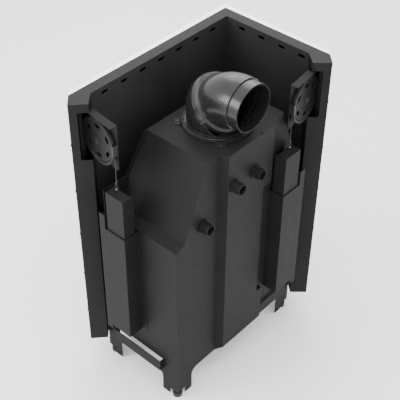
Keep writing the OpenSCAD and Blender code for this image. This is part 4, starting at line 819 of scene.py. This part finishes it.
def handle():
    """A turned bar with domed ends and a grooved middle, on two posts."""
    low, high = span("door_handle")
    radius = (high.z - low.z) / 2
    y = low.y + radius
    z = (low.z + high.z) / 2
    length = high.x - low.x
    start = Vector((low.x, y, z))
    dome = [(radius * math.sin(a), radius * 0.7 * (1 - math.cos(a))) for a in (0.0, 0.5, 1.0, 1.57)]
    grooves = []
    for i in range(HANDLE_GROOVES):
        at = length / 2 + (i - HANDLE_GROOVES // 2) * GROOVE_PITCH
        grooves += [(radius, at - GROOVE_HALF), (radius * 0.9, at), (radius, at + GROOVE_HALF)]
    profile = dome + grooves + [(r, length - h) for r, h in reversed(dome)]
    kit = Kit()
    kit.lathe(profile, aim(start, (1, 0, 0)), 32)
    for x in (low.x + length / 8, high.x - length / 8):
        post = aim((x, y, z), (0, 1, 0))
        depth = high.y - y
        kit.lathe([(0, 0), (radius * 0.6, 0), (radius * 0.6, depth * 0.72),
                   (radius * 0.95, depth * 0.8), (radius * 0.95, depth), (0, depth)], post, 24)
    piece = kit.done("door_handle_bar", "bare", "bare_steel", DOOR)
    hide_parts("door_handle")


# Body: the pads under the feet

PAD_R = 0.0215
PAD_PROFILE = ((PAD_R, 0.0), (0.0217, 0.0015), (0.0217, 0.004), (0.0210, 0.0055), (0.0150, 0.006))


def body_details():
    kit = Kit()
    low, high = span("levelling_feet")
    for y in (low.y + PAD_R, high.y - PAD_R):
        for x in (low.x + PAD_R, high.x - PAD_R):
            kit.lathe(PAD_PROFILE, Matrix.Translation((x, y, 0.0)), 40)
    kit.done("foot_pads", "rubber", "iron", ROOT)


# Studio

CAMERA_AT = (2.2883, 2.0243, 3.4283)
FORWARD = Vector((-0.56608416, -0.5036333, -0.65261184))
ROLL = math.radians(0.54661778)
LENS = 85.22
SENSOR = 36.0
FAR = 100.0
FLOOR_REACH = 40.0
FLOOR_TONES = ((0.95, 0.95, 0.95), (0.97, 0.97, 0.97))
LIGHT_TARGET = Vector((0, 0, 0.9))
WORLD_STRENGTH = 2.2
SOFTBOXES = (("back_light", (-2.2, -2.0, 3.6), 2.4, 70), ("top_light", (0.3, 0.4, 4.2), 2.6, 60),
             ("key_light", (3.4, -1.6, 2.8), 1.8, 120))


def camera():
    """The photograph's own view, from the rear and above."""
    flat = FORWARD.cross(UP).normalized()
    lift = flat.cross(FORWARD)
    right = flat * math.cos(ROLL) + lift * math.sin(ROLL)
    up = lift * math.cos(ROLL) - flat * math.sin(ROLL)
    data = bpy.data.cameras.new("camera")
    data.lens = LENS
    data.sensor_width = SENSOR
    data.sensor_fit = "HORIZONTAL"
    data.clip_end = FAR
    view = bpy.data.objects.new("camera", data)
    bpy.context.scene.collection.objects.link(view)
    columns = Matrix((right, up, -FORWARD)).transposed().to_4x4()
    view.matrix_world = Matrix.Translation(CAMERA_AT) @ columns
    bpy.context.scene.camera = view


def softbox(name, place, size, power):
    """A square area light that faces the fireplace."""
    data = bpy.data.lights.new(name, "AREA")
    data.shape = "RECTANGLE"
    data.size = data.size_y = size
    data.energy = power
    light = bpy.data.objects.new(name, data)
    bpy.context.scene.collection.objects.link(light)
    toward = (LIGHT_TARGET - Vector(place)).normalized()
    turn = toward.to_track_quat("-Z", "Y").to_matrix().to_4x4()
    light.matrix_world = Matrix.Translation(place) @ turn


def studio():
    n = Nodes("floor_look")
    tint = n.noise(0.7, 3.0)
    tone = n.mix(tint, *FLOOR_TONES)
    look = n.shader(tone, n.ramp(tint, 0.3, 0.7, 0.85, 0.95), n.bump(tint, 0.0001))
    mesh = bpy.data.meshes.new("floor")
    corners = [(x * FLOOR_REACH, y * FLOOR_REACH, 0) for x, y in ((-1, -1), (1, -1), (1, 1), (-1, 1))]
    mesh.from_pydata(corners, [], [(0, 1, 2, 3)])
    mesh.materials.append(look)
    floor = bpy.data.objects.new("floor", mesh)
    bpy.context.scene.collection.objects.link(floor)
    world = bpy.data.worlds.new("studio")
    world.use_nodes = True
    sky = world.node_tree.nodes["Background"]
    sky.inputs["Color"].default_value = (1.0, 1.0, 1.0, 1.0)
    sky.inputs["Strength"].default_value = WORLD_STRENGTH
    bpy.context.scene.world = world
    for settings in SOFTBOXES:
        softbox(*settings)


camera()
studio()
dress_nodes()
cables()
wheels()
flue_details()
casing_details()
door_rope()
glass_borders()
handle()
body_details()
